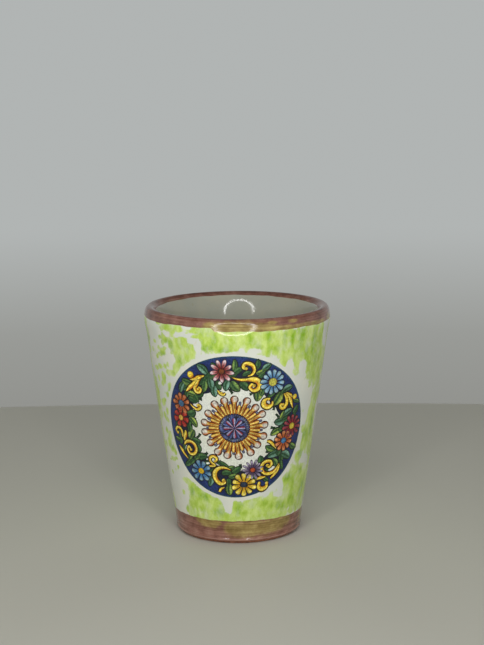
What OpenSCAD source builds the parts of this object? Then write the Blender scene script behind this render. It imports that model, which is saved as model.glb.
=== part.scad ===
// Glazed ceramic shot cup with painted bands, a brushed green wash and a printed floral medallion.
// Millimetres. The cup stands on its foot ring at z = 0, its axis is Z and the medallion faces -Y.

/* [Cup] */
// Height from the table to the top of the lip
cup_h = 60; // [56:0.5:66]
// Diameter over the lip
mouth_d = 48.8; // [46:0.2:54]
// Angle of the wall from upright, in degrees
wall_angle = 8; // [6:0.1:9]
// Thickness of the glazed wall, which is also the width of the round lip
wall_t = 3.6; // [2.6:0.1:4.2]
// Height of the inside floor above the table
inside_z = 4.2; // [3.6:0.1:6]
// Radius of the fillet between the inside floor and wall
inside_fillet = 5; // [2:0.5:7]

/* [Foot] */
// Depth of the recess under the cup
recess_h = 1.2; // [0.8:0.1:1.8]
// Width of the ring that the cup stands on
foot_ring_w = 3; // [2:0.1:4.5]
// Radius of the foot's outer edge
foot_round = 0.8; // [0.4:0.1:1]
// Height of the bare clay edge below the glaze
bare_h = 1; // [0.8:0.1:2]

/* [Glaze] */
// Thickness of the glaze on the clay
glaze_t = 0.35; // [0.2:0.05:0.6]
// Height of the top of the painted foot band
foot_band_z = 6.3; // [4:0.1:9]
// Depth of the painted rim band below the top of the lip, outside
rim_band_out = 3.1; // [2.4:0.1:6]
// Depth of the painted rim band below the middle of the lip, inside
rim_band_in = 0.2; // [0.1:0.1:4]
// Thickness of one layer of printed or brushed colour
ink_t = 0.12; // [0.08:0.01:0.2]

/* [Medallion] */
// Radius of the medallion, measured along the wall
medallion_r = 19.05; // [17:0.05:19.5]
// Height of the medallion's centre
medallion_z = 31.9; // [31:0.1:33]
// Radius of the pale field inside the blue ground
field_r = 11.6; // [10.5:0.1:12.5]
// Radius of the sunburst rosette, to the tips of its petals
rosette_r = 8.8; // [7.5:0.1:9.5]
// Number of petals in the sunburst rosette
petals = 20; // [12:1:28]
// Radius of the blue disc in the middle
disc_r = 4; // [3:0.1:5]

/* [Hidden] */
$fn = 96;

lip_r = wall_t / 2;
lip_centre_r = mouth_d / 2 - lip_r;
lip_centre_z = cup_h - lip_r;
fillet_centre_z = inside_z + inside_fillet;
ARC_STEPS = 12;
REACH = 40;      // longer than any radius of the cup
CUT = 0.5;       // how far a cutting shape overshoots
PETAL_DEPTH = 0.6;
ROSETTE_STEPS = 8 * petals;

// Flowers in the wreath: place across and up from the medallion's centre, then radius
FLOWERS = [
    [-2.9, 15, 3.1], [10, 11.5, 3.2], [15.8, -1.5, 2.7], [13.3, -5, 2.5], [4.3, -11.7, 2.2],
    [2.2, -15.4, 2.9], [-9, -12.5, 2.7], [-15, 0.9, 2.4], [-14.5, 4.9, 2.7]
];

// Scrolls: place, middle radius of the curl, start angle, sweep and width
SCROLLS = [
    [3.6, 15.2, 1.5, -60, 210, 0.9], [5.2, 12, 1.4, -120, 270, 1], [8.5, 6.2, 1, 60, 240, 0.9],
    [13.4, 5.6, 1.6, 20, 230, 0.9], [8.1, -11.1, 1.6, -30, 300, 0.9], [7, -16.1, 1.1, 120, 260, 0.9],
    [-3.7, -13.2, 1.8, 60, 230, 1], [-5.5, -9.1, 1, 30, 290, 0.8], [-11.6, -6.8, 1.6, -60, 300, 0.9],
    [-15.2, -3.8, 1.3, 20, 200, 0.8], [-9.6, 5, 0.9, 180, 230, 0.7], [-9.9, 10.7, 1.8, -80, 220, 1]
];

// Leaves: place of the middle, length, width and the angle the tip points to
LEAVES = [
    [-8.2, 15.6, 3, 1.7, 160], [-6, 11.9, 2.6, 1.6, 240], [-5.1, 9.9, 2.4, 1.5, 260],
    [0.3, 16.6, 2.6, 1.4, 80], [1.1, 14.6, 2.2, 1.3, -30], [-1.9, 11.2, 2.3, 1.5, 265],
    [0.3, 11.2, 2.8, 1.6, 300], [2.3, 11.4, 2.2, 1.4, 330], [6.4, 16.6, 2.2, 1.3, 80],
    [8.1, 15.5, 2.4, 1.3, 40], [6.4, 14.4, 2.2, 1.2, 30], [6.1, 9, 2.8, 2, 255],
    [11.6, 7, 3.2, 2.1, 250], [14.4, 9.2, 3, 1.7, 10], [17, 4.6, 2.2, 1.3, -40],
    [13.5, 2.1, 2.6, 1.6, 200], [16.6, 2.3, 2.4, 1.4, 10], [11.8, 0.2, 2.4, 1.5, 175],
    [11.2, -2.1, 2.8, 1.5, 195], [16.4, -7, 2.4, 1.4, -20], [13.8, -9.2, 3, 1.9, -40],
    [10.3, -8, 3.2, 1.8, 175], [10.8, -10, 2.2, 1.4, 250], [6.4, -9.2, 1.7, 1.2, 90],
    [-1.3, -16.9, 2.8, 1.7, 260], [-0.9, -12.2, 2.4, 1.4, 20], [-6, -15, 2.8, 1.5, 270],
    [-7.9, -8.6, 2.6, 1.5, 30], [-11.3, -9.6, 2.4, 1.4, 250], [-12.8, -11.6, 2.4, 1.3, 230],
    [-11.5, -2.9, 2.8, 1.7, 60], [-9.8, -4.4, 2.4, 1.4, 10], [-16.4, -6.4, 2.2, 1.3, 200],
    [-11.3, 2.6, 2.6, 1.5, 30], [-10.9, 0.5, 2.6, 1.5, -20], [-10.9, 7.5, 2.8, 1.6, 20],
    [-14, 10.4, 2.6, 1.4, 200], [-12.8, 12, 2.4, 1.4, 120], [-8.3, 8.5, 2.2, 1.4, 10]
];

// Patches of green wash: start and end angle from -Y towards +X, then lower and upper height
WASH = [
    [-62, -48, 40, 52], [-46, -20, 52, 56], [-16, 50, 52, 56], [54, 100, 44, 56],
    [62, 120, 8, 42], [104, 150, 45, 55], [124, 172, 7, 40], [154, 214, 43, 55],
    [176, 226, 7, 36], [218, 258, 40, 54], [230, 262, 8, 34], [264, 290, 22, 40],
    [-44, -8, 7, 11], [8, 58, 7, 11]
];

// Radius at height z of the surface that lies a depth under the glazed outside
function wall_r(z, depth) =
    lip_centre_r + (lip_r - depth + (z - lip_centre_z) * sin(wall_angle)) / cos(wall_angle);

// Points of an arc about a centre given as radius and height
function arc(centre, r, from, to) =
    [for (i = [0 : ARC_STEPS])
        let (a = from + (to - from) * i / ARC_STEPS) centre + r * [cos(a), sin(a)]];

// The lip, from its outer side over the top to its inner side
function lip_arc(depth) =
    arc([lip_centre_r, lip_centre_z], lip_r - depth, -wall_angle, 180 - wall_angle);

// The inside corner, from the wall down to the floor
function fillet_arc(depth) =
    arc([wall_r(fillet_centre_z, wall_t + inside_fillet), fillet_centre_z],
        inside_fillet + depth, -wall_angle, -90);

function foot_arc() =
    arc([wall_r(foot_round, glaze_t) - foot_round, foot_round], foot_round, -90, 0);

function reversed(points) = [for (i = [len(points) - 1 : -1 : 0]) points[i]];

foot_r = wall_r(foot_round, glaze_t);
recess_r = foot_r - foot_round - foot_ring_w;
medallion_wall_r = wall_r(medallion_z, 0);
cone_apex = medallion_wall_r / sin(wall_angle);

// Place on the cup's front of a point drawn flat, u across and v up from the medallion's centre:
// the flat drawing is wrapped round the cone without stretching. Gives X and Z.
function wrapped(p) =
    let (slant = norm([p[0], cone_apex + p[1]]),
         turn = atan2(p[0], cone_apex + p[1]) / sin(wall_angle))
    [slant * sin(wall_angle) * sin(turn),
     medallion_z + (slant - cone_apex) * cos(wall_angle)];

function wrap(points) = [for (p = points) wrapped(p)];

function ring_points(r, steps) =
    [for (i = [0 : steps - 1]) r * [cos(360 * i / steps), sin(360 * i / steps)]];

function moved(points, place) = [for (p = points) p + place];

function turned(p, a) = [p[0] * cos(a) - p[1] * sin(a), p[0] * sin(a) + p[1] * cos(a)];

// A leaf with two pointed ends, made of two half waves
function leaf_points(leaf) =
    let (steps = 8,
         upper = [for (i = [0 : steps]) [leaf[2] * (i / steps - 0.5), leaf[3] / 2 * sin(180 * i / steps)]],
         lower = [for (i = [steps - 1 : -1 : 1])
                     [leaf[2] * (i / steps - 0.5), -leaf[3] / 2 * sin(180 * i / steps)]])
    [for (p = concat(upper, lower)) turned(p, leaf[4]) + [leaf[0], leaf[1]]];

// A curl: a strip along an arc
function scroll_points(scroll) =
    let (steps = 14,
         along = [for (i = [0 : steps]) scroll[3] + scroll[4] * i / steps],
         outer = [for (a = along) (scroll[2] + scroll[5] / 2) * [cos(a), sin(a)]],
         inner = [for (a = reversed(along)) (scroll[2] - scroll[5] / 2) * [cos(a), sin(a)]])
    moved(concat(outer, inner), [scroll[0], scroll[1]]);

function rosette_points() =
    [for (i = [0 : ROSETTE_STEPS - 1])
        let (a = 360 * i / ROSETTE_STEPS)
        (rosette_r - PETAL_DEPTH / 2 * (1 - cos(petals * a))) * [cos(a), sin(a)]];

// A shell that follows the outer wall between two heights and two depths
module wall_shell(z_low, z_high, depth_out, depth_in) {
    rotate_extrude()
        polygon([
            [wall_r(z_low, depth_in), z_low], [wall_r(z_low, depth_out), z_low],
            [wall_r(z_high, depth_out), z_high], [wall_r(z_high, depth_in), z_high]
        ]);
}

// One colour layer on the wall, level 0 on the glaze and level 1 above it, cut to a flat outline
module ink_layer(level) {
    intersection() {
        wall_shell(medallion_z - medallion_r - CUT, medallion_z + medallion_r + CUT,
                   -ink_t * (level + 1), -ink_t * level);
        rotate([90, 0, 0])
            linear_extrude(REACH)
                children();
    }
}

module flower_outlines() {
    for (f = FLOWERS)
        polygon(wrap(moved(ring_points(f[2], 24), [f[0], f[1]])));
}

module scroll_outlines() {
    for (s = SCROLLS)
        polygon(wrap(scroll_points(s)));
}

// The fired clay: wall, floor and foot ring, all under the glaze but for the foot
module clay_body() {
    color("peru")
        rotate_extrude()
            polygon(concat(
                [[0, recess_h], [recess_r, recess_h], [recess_r, 0]],
                foot_arc(), lip_arc(glaze_t), fillet_arc(glaze_t),
                [[0, inside_z - glaze_t]]
            ));
}

// White glaze that lines the inside
module inner_glaze() {
    top = lip_centre_z - rim_band_in;
    color("gainsboro")
        rotate_extrude()
            polygon(concat(
                [[wall_r(top, wall_t - glaze_t), top], [wall_r(top, wall_t), top]],
                fillet_arc(0), [[0, inside_z], [0, inside_z - glaze_t]],
                reversed(fillet_arc(glaze_t))
            ));
}

// White glaze on the outside, between the two painted bands
module outer_glaze() {
    color("ivory")
        wall_shell(foot_band_z, cup_h - rim_band_out, 0, glaze_t);
}

// Mauve band over the lip
module rim_band() {
    low_out = cup_h - rim_band_out;
    low_in = lip_centre_z - rim_band_in;
    color("rosybrown")
        rotate_extrude()
            polygon(concat(
                [[wall_r(low_out, glaze_t), low_out], [wall_r(low_out, 0), low_out]],
                lip_arc(0),
                [[wall_r(low_in, wall_t), low_in], [wall_r(low_in, wall_t - glaze_t), low_in]],
                reversed(lip_arc(glaze_t))
            ));
}

// Mauve band round the foot, which stops above the bare clay edge
module foot_band() {
    color("rosybrown")
        wall_shell(bare_h, foot_band_z, 0, glaze_t);
}

// Glaze in the recess under the cup
module base_glaze() {
    color("ivory")
        translate([0, 0, recess_h - glaze_t])
            cylinder(h = glaze_t, r = recess_r - CUT);
}

// Brushed patches of green colour on the white glaze
module green_wash() {
    color("yellowgreen")
        for (w = WASH)
            rotate([0, 0, w[0] - 90])
                rotate_extrude(angle = w[1] - w[0])
                    polygon([
                        [wall_r(w[2], 0), w[2]], [wall_r(w[2], -ink_t), w[2]],
                        [wall_r(w[3], -ink_t), w[3]], [wall_r(w[3], 0), w[3]]
                    ]);
}

// Cobalt blue ring of the medallion
module medallion_ground() {
    color("midnightblue")
        ink_layer(0)
            difference() {
                polygon(wrap(ring_points(medallion_r, 72)));
                polygon(wrap(ring_points(field_r, 48)));
            }
}

// Pale field inside the blue ring
module medallion_field() {
    color("beige")
        ink_layer(0)
            polygon(wrap(ring_points(field_r, 48)));
}

// Green leaves of the wreath, left open where a flower or a scroll lies
module medallion_leaves() {
    color("forestgreen")
        ink_layer(1)
            difference() {
                for (l = LEAVES)
                    polygon(wrap(leaf_points(l)));
                flower_outlines();
                scroll_outlines();
            }
}

// Yellow scrolls of the wreath
module medallion_scrolls() {
    color("gold")
        ink_layer(1)
            difference() {
                scroll_outlines();
                flower_outlines();
            }
}

// Flowers of the wreath
module medallion_flowers() {
    color("indianred")
        ink_layer(1)
            flower_outlines();
}

// Sunburst of looped petals round the middle disc
module medallion_rosette() {
    color("orange")
        ink_layer(1)
            difference() {
                polygon(wrap(rosette_points()));
                polygon(wrap(ring_points(disc_r, 48)));
            }
}

// Blue disc in the middle of the sunburst
module medallion_disc() {
    color("royalblue")
        ink_layer(1)
            polygon(wrap(ring_points(disc_r, 48)));
}

clay_body();
inner_glaze();
outer_glaze();
rim_band();
foot_band();
base_glaze();
green_wash();
medallion_ground();
medallion_field();
medallion_leaves();
medallion_scrolls();
medallion_flowers();
medallion_rosette();
medallion_disc();
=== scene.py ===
import math

import bpy
import numpy as np
from mathutils import Matrix, Vector


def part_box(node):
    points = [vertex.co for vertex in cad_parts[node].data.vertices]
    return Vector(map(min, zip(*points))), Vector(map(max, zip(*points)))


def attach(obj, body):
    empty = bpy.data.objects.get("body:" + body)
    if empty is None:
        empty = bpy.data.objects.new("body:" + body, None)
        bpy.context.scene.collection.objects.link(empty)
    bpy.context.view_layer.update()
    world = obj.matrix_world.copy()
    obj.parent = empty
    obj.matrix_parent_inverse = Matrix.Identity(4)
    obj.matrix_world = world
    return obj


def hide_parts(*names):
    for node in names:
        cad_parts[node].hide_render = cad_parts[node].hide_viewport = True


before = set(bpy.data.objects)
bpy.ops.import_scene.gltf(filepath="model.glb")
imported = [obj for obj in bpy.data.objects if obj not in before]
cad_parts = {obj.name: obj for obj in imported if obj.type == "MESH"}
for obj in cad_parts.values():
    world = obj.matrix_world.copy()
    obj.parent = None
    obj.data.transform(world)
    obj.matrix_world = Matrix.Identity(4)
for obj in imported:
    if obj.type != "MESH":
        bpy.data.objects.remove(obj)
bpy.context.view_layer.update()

# ---------------------------------------------------------------- sizes, in millimetres

MM = 0.001                      # metres in a millimetre
BODY = "root"                   # the cup is one rigid body
rim_low, rim_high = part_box("rim_band")
foot_low, foot_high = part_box("foot_band")
disc_low, disc_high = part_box("medallion_disc")
base_low, base_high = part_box("base_glaze")

CUP_H = rim_high.z / MM - 0.12     # room for the unevenness of the lip
GLAZE_EDGE_Z = foot_low.z / MM - 0.25   # where the glaze ends above the bare foot
FOOT_BAND_Z = foot_high.z / MM
RIM_BAND_Z = rim_low.z / MM
INSIDE_Z = 4.2                  # the inside floor
INSIDE_FILLET = 5.0
GLAZE_T = 0.3                   # modelled thickness of each glaze coat
RECESS_R = 12.2                 # the recess under the cup, and the radius of its edges
RECESS_EDGE = 0.25
FOOT_R = 16.0                   # the bare foot, and the radius of its outer edge
FOOT_ROUND = 0.8
CLAY_DEPTH = -GLAZE_T - 0.02    # how far the clay stands off the glaze's surface
CLAY_MEET_Z = 1.7               # height at which its upper and lower sides meet, behind the glaze
CLAY_ROWS = 110
COAT_ROWS = {"foot": 64, "wall": 124, "rim": 48, "inside": 110}    # rows of each coat's grid
MEDALLION_R = 19.05             # radius of the printed medallion, and of its pale field
FIELD_R = 11.5
MEDALLION_Z = (disc_low.z + disc_high.z) / 2 / MM
COLUMNS = 384                   # columns of the grids of glaze, which run round the cup

# Slope of the outer wall, radius per height, at heights from the foot to the lip. The wall is a
# cone of 8 degrees that turns a little more upright, then flares and rolls over at the rim.
OUTER_FOOT = (1.0, 16.36)       # height and radius at which the slopes start
OUTER_SLOPES = [
    (0.4, 0.147), (23, 0.147), (34, 0.139), (45, 0.131), (51, 0.128), (53.5, 0.135), (54.8, 0.15),
    (55.5, 0.12), (56.1, 0.046), (58.25, -0.18),
]
# The same for the inner wall, from the lip down
INNER_EDGE = (58.8, 21.0)
INNER_SLOPES = [(58.8, 0.55), (57.9, 0.36), (54.8, 0.165), (52, 0.14), (9.2, 0.14)]
LIP_R = 22.7                    # radius at which the lip is highest
LIP_SPREAD = 0.8                # length of the lip's curve handles either side of its top
LIP_OUTSIDE = (-0.17, 0.95)     # its outer handle, from where the lip starts
LIP_INSIDE = (0.34, 0.61)       # its inner handle, from where the lip ends
ROLL_R = 0.3                    # the glaze rolls under at its lower edge
BEAD = 0.17                     # and gathers in a bead just above that
BEAD_Z = 1.2
BEAD_W = 0.36
FLARE = 0.22                    # how much wider the rim is across X than across Y

# ---------------------------------------------------------------- helpers


def srgb(r, g, b):
    """Linear colour of a screen colour given as 0 to 255."""
    c = np.array([r, g, b], float) / 255
    return np.where(c <= 0.04045, c / 12.92, ((c + 0.055) / 1.055) ** 2.4)


def ease(low, high, x):
    """0 below low, 1 above high, smooth between them."""
    t = np.clip((np.asarray(x, float) - low) / (high - low), 0, 1)
    return t * t * (3 - 2 * t)


def blend(a, b, t):
    """Colours a to b as t, an array, goes from 0 to 1."""
    t = np.asarray(t, float)[..., None]
    return a * (1 - t) + b * t


def unit(vectors):
    """Vectors, along the last axis, scaled to length 1."""
    return vectors / np.linalg.norm(vectors, axis=-1)[..., None]


def half_turn(theta):
    """Angles in radians brought to between minus and plus half a turn."""
    return (theta + np.pi) % (2 * np.pi) - np.pi


def round_cup(r, theta, z):
    """Points at radii, angles from -Y towards +X, and heights."""
    return np.stack([r * np.sin(theta), -r * np.cos(theta), np.broadcast_to(z, r.shape)], -1)


def linked(name, data):
    """A new object in the scene for a mesh, a lamp or a camera."""
    thing = bpy.data.objects.new(name, data)
    bpy.context.scene.collection.objects.link(thing)
    return thing


def set_stops(node, stops):
    """Gives a colour ramp its stops, each a position and a colour."""
    elements = node.color_ramp.elements
    while len(elements) < len(stops):
        elements.new(0.5)
    for element, (position, colour) in zip(elements, stops):
        element.position = position
        element.color = (*[float(k) for k in colour], 1.0)


# ---------------------------------------------------------------- shape of the cup


def from_slopes(slopes, start):
    """Heights and radii of a line given by its slopes, passing through start."""
    knots = np.array(sorted(slopes))
    z = np.linspace(knots[0, 0], knots[-1, 0], 2400)
    slope = np.interp(z, knots[:, 0], knots[:, 1])
    r = np.concatenate([[0], np.cumsum((slope[1:] + slope[:-1]) / 2 * np.diff(z))])
    return z, r - np.interp(start[0], z, r) + start[1]


OUTER = from_slopes(OUTER_SLOPES, OUTER_FOOT)
INNER = from_slopes(INNER_SLOPES, INNER_EDGE)


def outer_r(z):
    """Outer radius of the glazed wall."""
    return np.interp(z, *OUTER) + BEAD * np.exp(-((z - BEAD_Z) / BEAD_W) ** 2)


def arc(centre_r, centre_z, radius, start, end, steps):
    """Points of an arc in the radius and height plane, angles in degrees."""
    a = np.radians(np.linspace(start, end, steps))
    return np.stack([centre_r + radius * np.cos(a), centre_z + radius * np.sin(a)], 1)


def bezier(p0, p1, p2, p3, steps):
    """Points of a curve from p0 to p3 with handles p1 and p2."""
    t = np.linspace(0, 1, steps)[:, None]
    p0, p1, p2, p3 = (np.array(p, float) for p in (p0, p1, p2, p3))
    return (1 - t) ** 3 * p0 + 3 * t * (1 - t) ** 2 * p1 + 3 * t * t * (1 - t) * p2 + t ** 3 * p3


def cup_profile():
    """The glazed surface from the foot's glaze edge, up, over the lip and down to the middle of the
    inside floor: evenly spaced points, and the lengths along it where its stretches begin."""
    roll_z = GLAZE_EDGE_Z + ROLL_R
    lip_z = OUTER_SLOPES[-1][0]
    lip_r = float(outer_r(lip_z))
    edge_z, edge_r = INNER_EDGE
    z_up = np.linspace(roll_z, lip_z, 500)[:, None]
    z_down = np.linspace(edge_z, INNER_SLOPES[-1][0], 400)[:, None]
    angle = math.degrees(math.atan(INNER_SLOPES[-1][1]))
    corner_z = INSIDE_Z + INSIDE_FILLET
    corner_r = INNER[1][0] - INSIDE_FILLET * math.cos(math.radians(angle))
    parts = {
        "roll": arc(outer_r(roll_z) - ROLL_R, roll_z, ROLL_R, -125, 10, 20),
        "wall": np.hstack([outer_r(z_up), z_up]),
        "lip": bezier((lip_r, lip_z), (lip_r + LIP_OUTSIDE[0], lip_z + LIP_OUTSIDE[1]),
                      (LIP_R + LIP_SPREAD, CUP_H), (LIP_R, CUP_H), 80),
        "lip_inside": bezier((LIP_R, CUP_H), (LIP_R - LIP_SPREAD, CUP_H),
                             (edge_r + LIP_INSIDE[0], edge_z + LIP_INSIDE[1]), (edge_r, edge_z), 80),
        "inside": np.hstack([np.interp(z_down, *INNER), z_down]),
        "corner": arc(corner_r, corner_z, INSIDE_FILLET, -angle, -90, 80),
        "floor": np.array([[corner_r * k, INSIDE_Z] for k in np.linspace(1, 0, 60)]),
    }
    points = np.concatenate(list(parts.values()))
    lengths = np.concatenate([[0], np.cumsum(np.linalg.norm(np.diff(points, axis=0), axis=1))])
    even = np.linspace(0, lengths[-1], 6000)
    smooth = np.stack([np.interp(even, lengths, points[:, k]) for k in (0, 1)], 1)
    starts, count = {}, 0
    for name, part in parts.items():
        starts[name] = lengths[count]
        count += len(part)
    starts["end"] = lengths[-1]
    return even, smooth, starts


def smoothed(values, reach):
    """values, rows of points, averaged over neighbours up to reach away."""
    kernel = np.hanning(2 * reach + 3)[1:-1]
    kernel /= kernel.sum()
    padded = np.pad(values, ((reach, reach), (0, 0)), mode="edge")
    return np.stack([np.convolve(column, kernel, "valid") for column in padded.T], 1)


PATH, PROFILE, STARTS = cup_profile()
PROFILE_TANGENT = unit(smoothed(np.gradient(PROFILE, PATH, axis=0), 10))
PROFILE_NORMAL = np.stack([PROFILE_TANGENT[:, 1], -PROFILE_TANGENT[:, 0]], 1)


def unevenness(theta, s):
    """How far the hand-finished surface stands off the true one, in mm."""
    flare = ease(FLARE_AT[0], FLARE_AT[1], s) * (1 - ease(FLARE_AT[2], FLARE_AT[3], s))
    waves = (0.030 * np.sin(2 * theta + 0.7 + 0.03 * s)
             + 0.022 * np.sin(3 * theta - 1.9 - 0.11 * s)
             + 0.008 * np.sin(7 * theta + 0.21 * s)
             + 0.010 * np.sin(0.62 * s + 0.9 * np.sin(theta)))
    return FLARE * flare * np.sin(theta) ** 2 + waves * (1 - 0.7 * flare)


def surface(theta, s, lift=0.0):
    """Point and normal of the glazed surface at an angle from -Y towards +X, in radians, and a
    length along the profile, in mm."""
    theta, s = np.broadcast_arrays(np.asarray(theta, float), np.asarray(s, float))
    r = np.interp(s, PATH, PROFILE[:, 0])
    z = np.interp(s, PATH, PROFILE[:, 1])
    nr = np.interp(s, PATH, PROFILE_NORMAL[:, 0])
    nz = np.interp(s, PATH, PROFILE_NORMAL[:, 1])
    share = ease(0.0, 6.0, r)                   # the unevenness dies away towards the axis
    off = unevenness(theta, s) * share
    step = 0.01
    d_s = (unevenness(theta, s + step) - unevenness(theta, s - step)) / (2 * step) * share
    d_t = (unevenness(theta + step, s) - unevenness(theta - step, s)) / (2 * step) * share
    d_t = d_t / np.maximum(r, 3.0)
    radial = np.stack([np.sin(theta), -np.cos(theta), np.zeros_like(theta)], -1)
    around = np.stack([np.cos(theta), np.sin(theta), np.zeros_like(theta)], -1)
    up = np.array([0.0, 0.0, 1.0])
    normal = radial * nr[..., None] + up * nz[..., None]
    along = radial * -nz[..., None] + up * nr[..., None]
    point = radial * r[..., None] + up * z[..., None] + normal * (off + lift)[..., None]
    return point, unit(normal - along * d_s[..., None] - around * d_t[..., None])


def path_at(z, inside=False):
    """Length along the profile at a height on the outer wall and lip, or on the inner side."""
    top = int(np.argmax(PROFILE[:, 1]))
    start = int(np.searchsorted(PATH, STARTS["wall"]))
    if inside:
        return np.interp(-np.asarray(z, float), -PROFILE[top:, 1], PATH[top:])
    return np.interp(z, PROFILE[start:top, 1], PATH[start:top])


# Lengths between which the wall flares at its two sides, and between which that dies away
FLARE_AT = (float(path_at(53)), float(path_at(57.5)), STARTS["lip"] + 0.8, STARTS["lip_inside"] + 1.5)
S_CENTRE = float(path_at(MEDALLION_Z))
CONE_R = float(outer_r(MEDALLION_Z))
WALL_ANGLE = math.atan(np.interp(MEDALLION_Z, *np.array(OUTER_SLOPES).T))
APEX = CONE_R / math.sin(WALL_ANGLE)


def wrap_round(u, v, lift):
    """A flat drawing in mm, u across and v up from the medallion's centre, wrapped round the wall."""
    slant = np.hypot(u, APEX + v)
    theta = np.arctan2(u, APEX + v) / math.sin(WALL_ANGLE)
    return surface(theta, S_CENTRE + slant - APEX, lift)


# ---------------------------------------------------------------- meshes


class Solid:
    """Gathers closed thin solids, each given as a grid on its face and one on its back, in a mesh."""

    def __init__(self):
        self.points, self.normals, self.faces, self.tints, self.masks = [], [], [], [], []
        self.count = 0

    def add(self, face, normal, back, tint=None, masks=None, wraps=False, pole=None, back_normal=None):
        """face, normal and back are rows x columns x 3. wraps closes the columns into a ring. pole
        is the row, 0 or -1, whose points are all one. back_normal is for a back of another form."""
        rows, cols = face.shape[:2]
        index = np.arange(rows * cols).reshape(rows, cols)
        if pole is not None:
            index[pole, :] = index[pole, 0]
        if wraps:
            index = np.concatenate([index, index[:, :1]], 1)
        a, b = index[:-1, :-1].ravel(), index[:-1, 1:].ravel()
        c, d = index[1:, 1:].ravel(), index[1:, :-1].ravel()
        quads = np.stack([a, b, c, d], 1)
        middle = (rows // 2 - 1, cols // 2 - 1) if rows > 2 else (0, cols // 2 - 1)
        p = face[middle[0]:middle[0] + 2, middle[1]:middle[1] + 2]
        facing = np.cross(p[0, 1] - p[0, 0], p[1, 0] - p[0, 0]) @ normal[middle]
        if facing < 0:
            quads = quads[:, ::-1]
        edge = []
        if wraps:
            for row, flip in ((0, False), (rows - 1, True)):
                if pole is not None and row == pole % rows:
                    continue
                ring = index[row]
                edge.append((ring[:-1], ring[1:], flip))
        else:
            loop = np.concatenate([index[0, :], index[1:, -1], index[-1, -2::-1], index[-2:0:-1, 0]])
            edge.append((loop, np.roll(loop, -1), False))
        half = rows * cols
        sides = []
        for p0, p1, flip in edge:
            quad = np.stack([p1, p0, p0 + half, p1 + half], 1)
            sides.append(quad[:, ::-1] if flip != (facing < 0) else quad)
        every = np.concatenate([quads, quads[:, ::-1] + half] + sides) + self.count
        for quad in every.tolist():
            corners = [q for k, q in enumerate(quad) if q != quad[k - 1]]
            if len(corners) > 2:
                self.faces.append(corners)
        self.points += [face.reshape(-1, 3), back.reshape(-1, 3)]
        if back_normal is None:
            back_normal = -normal
        self.normals += [normal.reshape(-1, 3), back_normal.reshape(-1, 3)]
        if tint is not None:
            self.tints += [tint.reshape(-1, 3)] * 2
        if masks is not None:
            self.masks += [masks.reshape(-1, masks.shape[-1])] * 2
        self.count += 2 * half

    def build(self, name, material, replaces):
        """Makes the mesh, in place of the CAD nodes that it replaces."""
        points = np.concatenate(self.points) * MM
        normals = np.concatenate(self.normals)
        used = np.zeros(len(points), bool)
        for face in self.faces:
            used[face] = True
        number = np.cumsum(used) - 1
        faces = [[int(number[q]) for q in face] for face in self.faces]
        mesh = bpy.data.meshes.new(name)
        mesh.from_pydata(points[used].tolist(), [], faces)
        if self.tints:
            layer = mesh.attributes.new("ink", "FLOAT_COLOR", "POINT")
            tints = np.concatenate(self.tints)[used]
            layer.data.foreach_set("color", np.concatenate([tints, np.ones((len(tints), 1))], 1).ravel())
        for k, key in enumerate(("wash", "depth") if self.masks else ()):
            layer = mesh.attributes.new(key, "FLOAT", "POINT")
            layer.data.foreach_set("value", np.ascontiguousarray(np.concatenate(self.masks)[used, k]))
        mesh.shade_smooth()
        mesh.normals_split_custom_set_from_vertices(normals[used].tolist())
        mesh.materials.append(material)
        piece = linked(name, mesh)
        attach(piece, BODY)
        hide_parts(*replaces)
        return piece


# ---------------------------------------------------------------- green wash: where it lies

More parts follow.
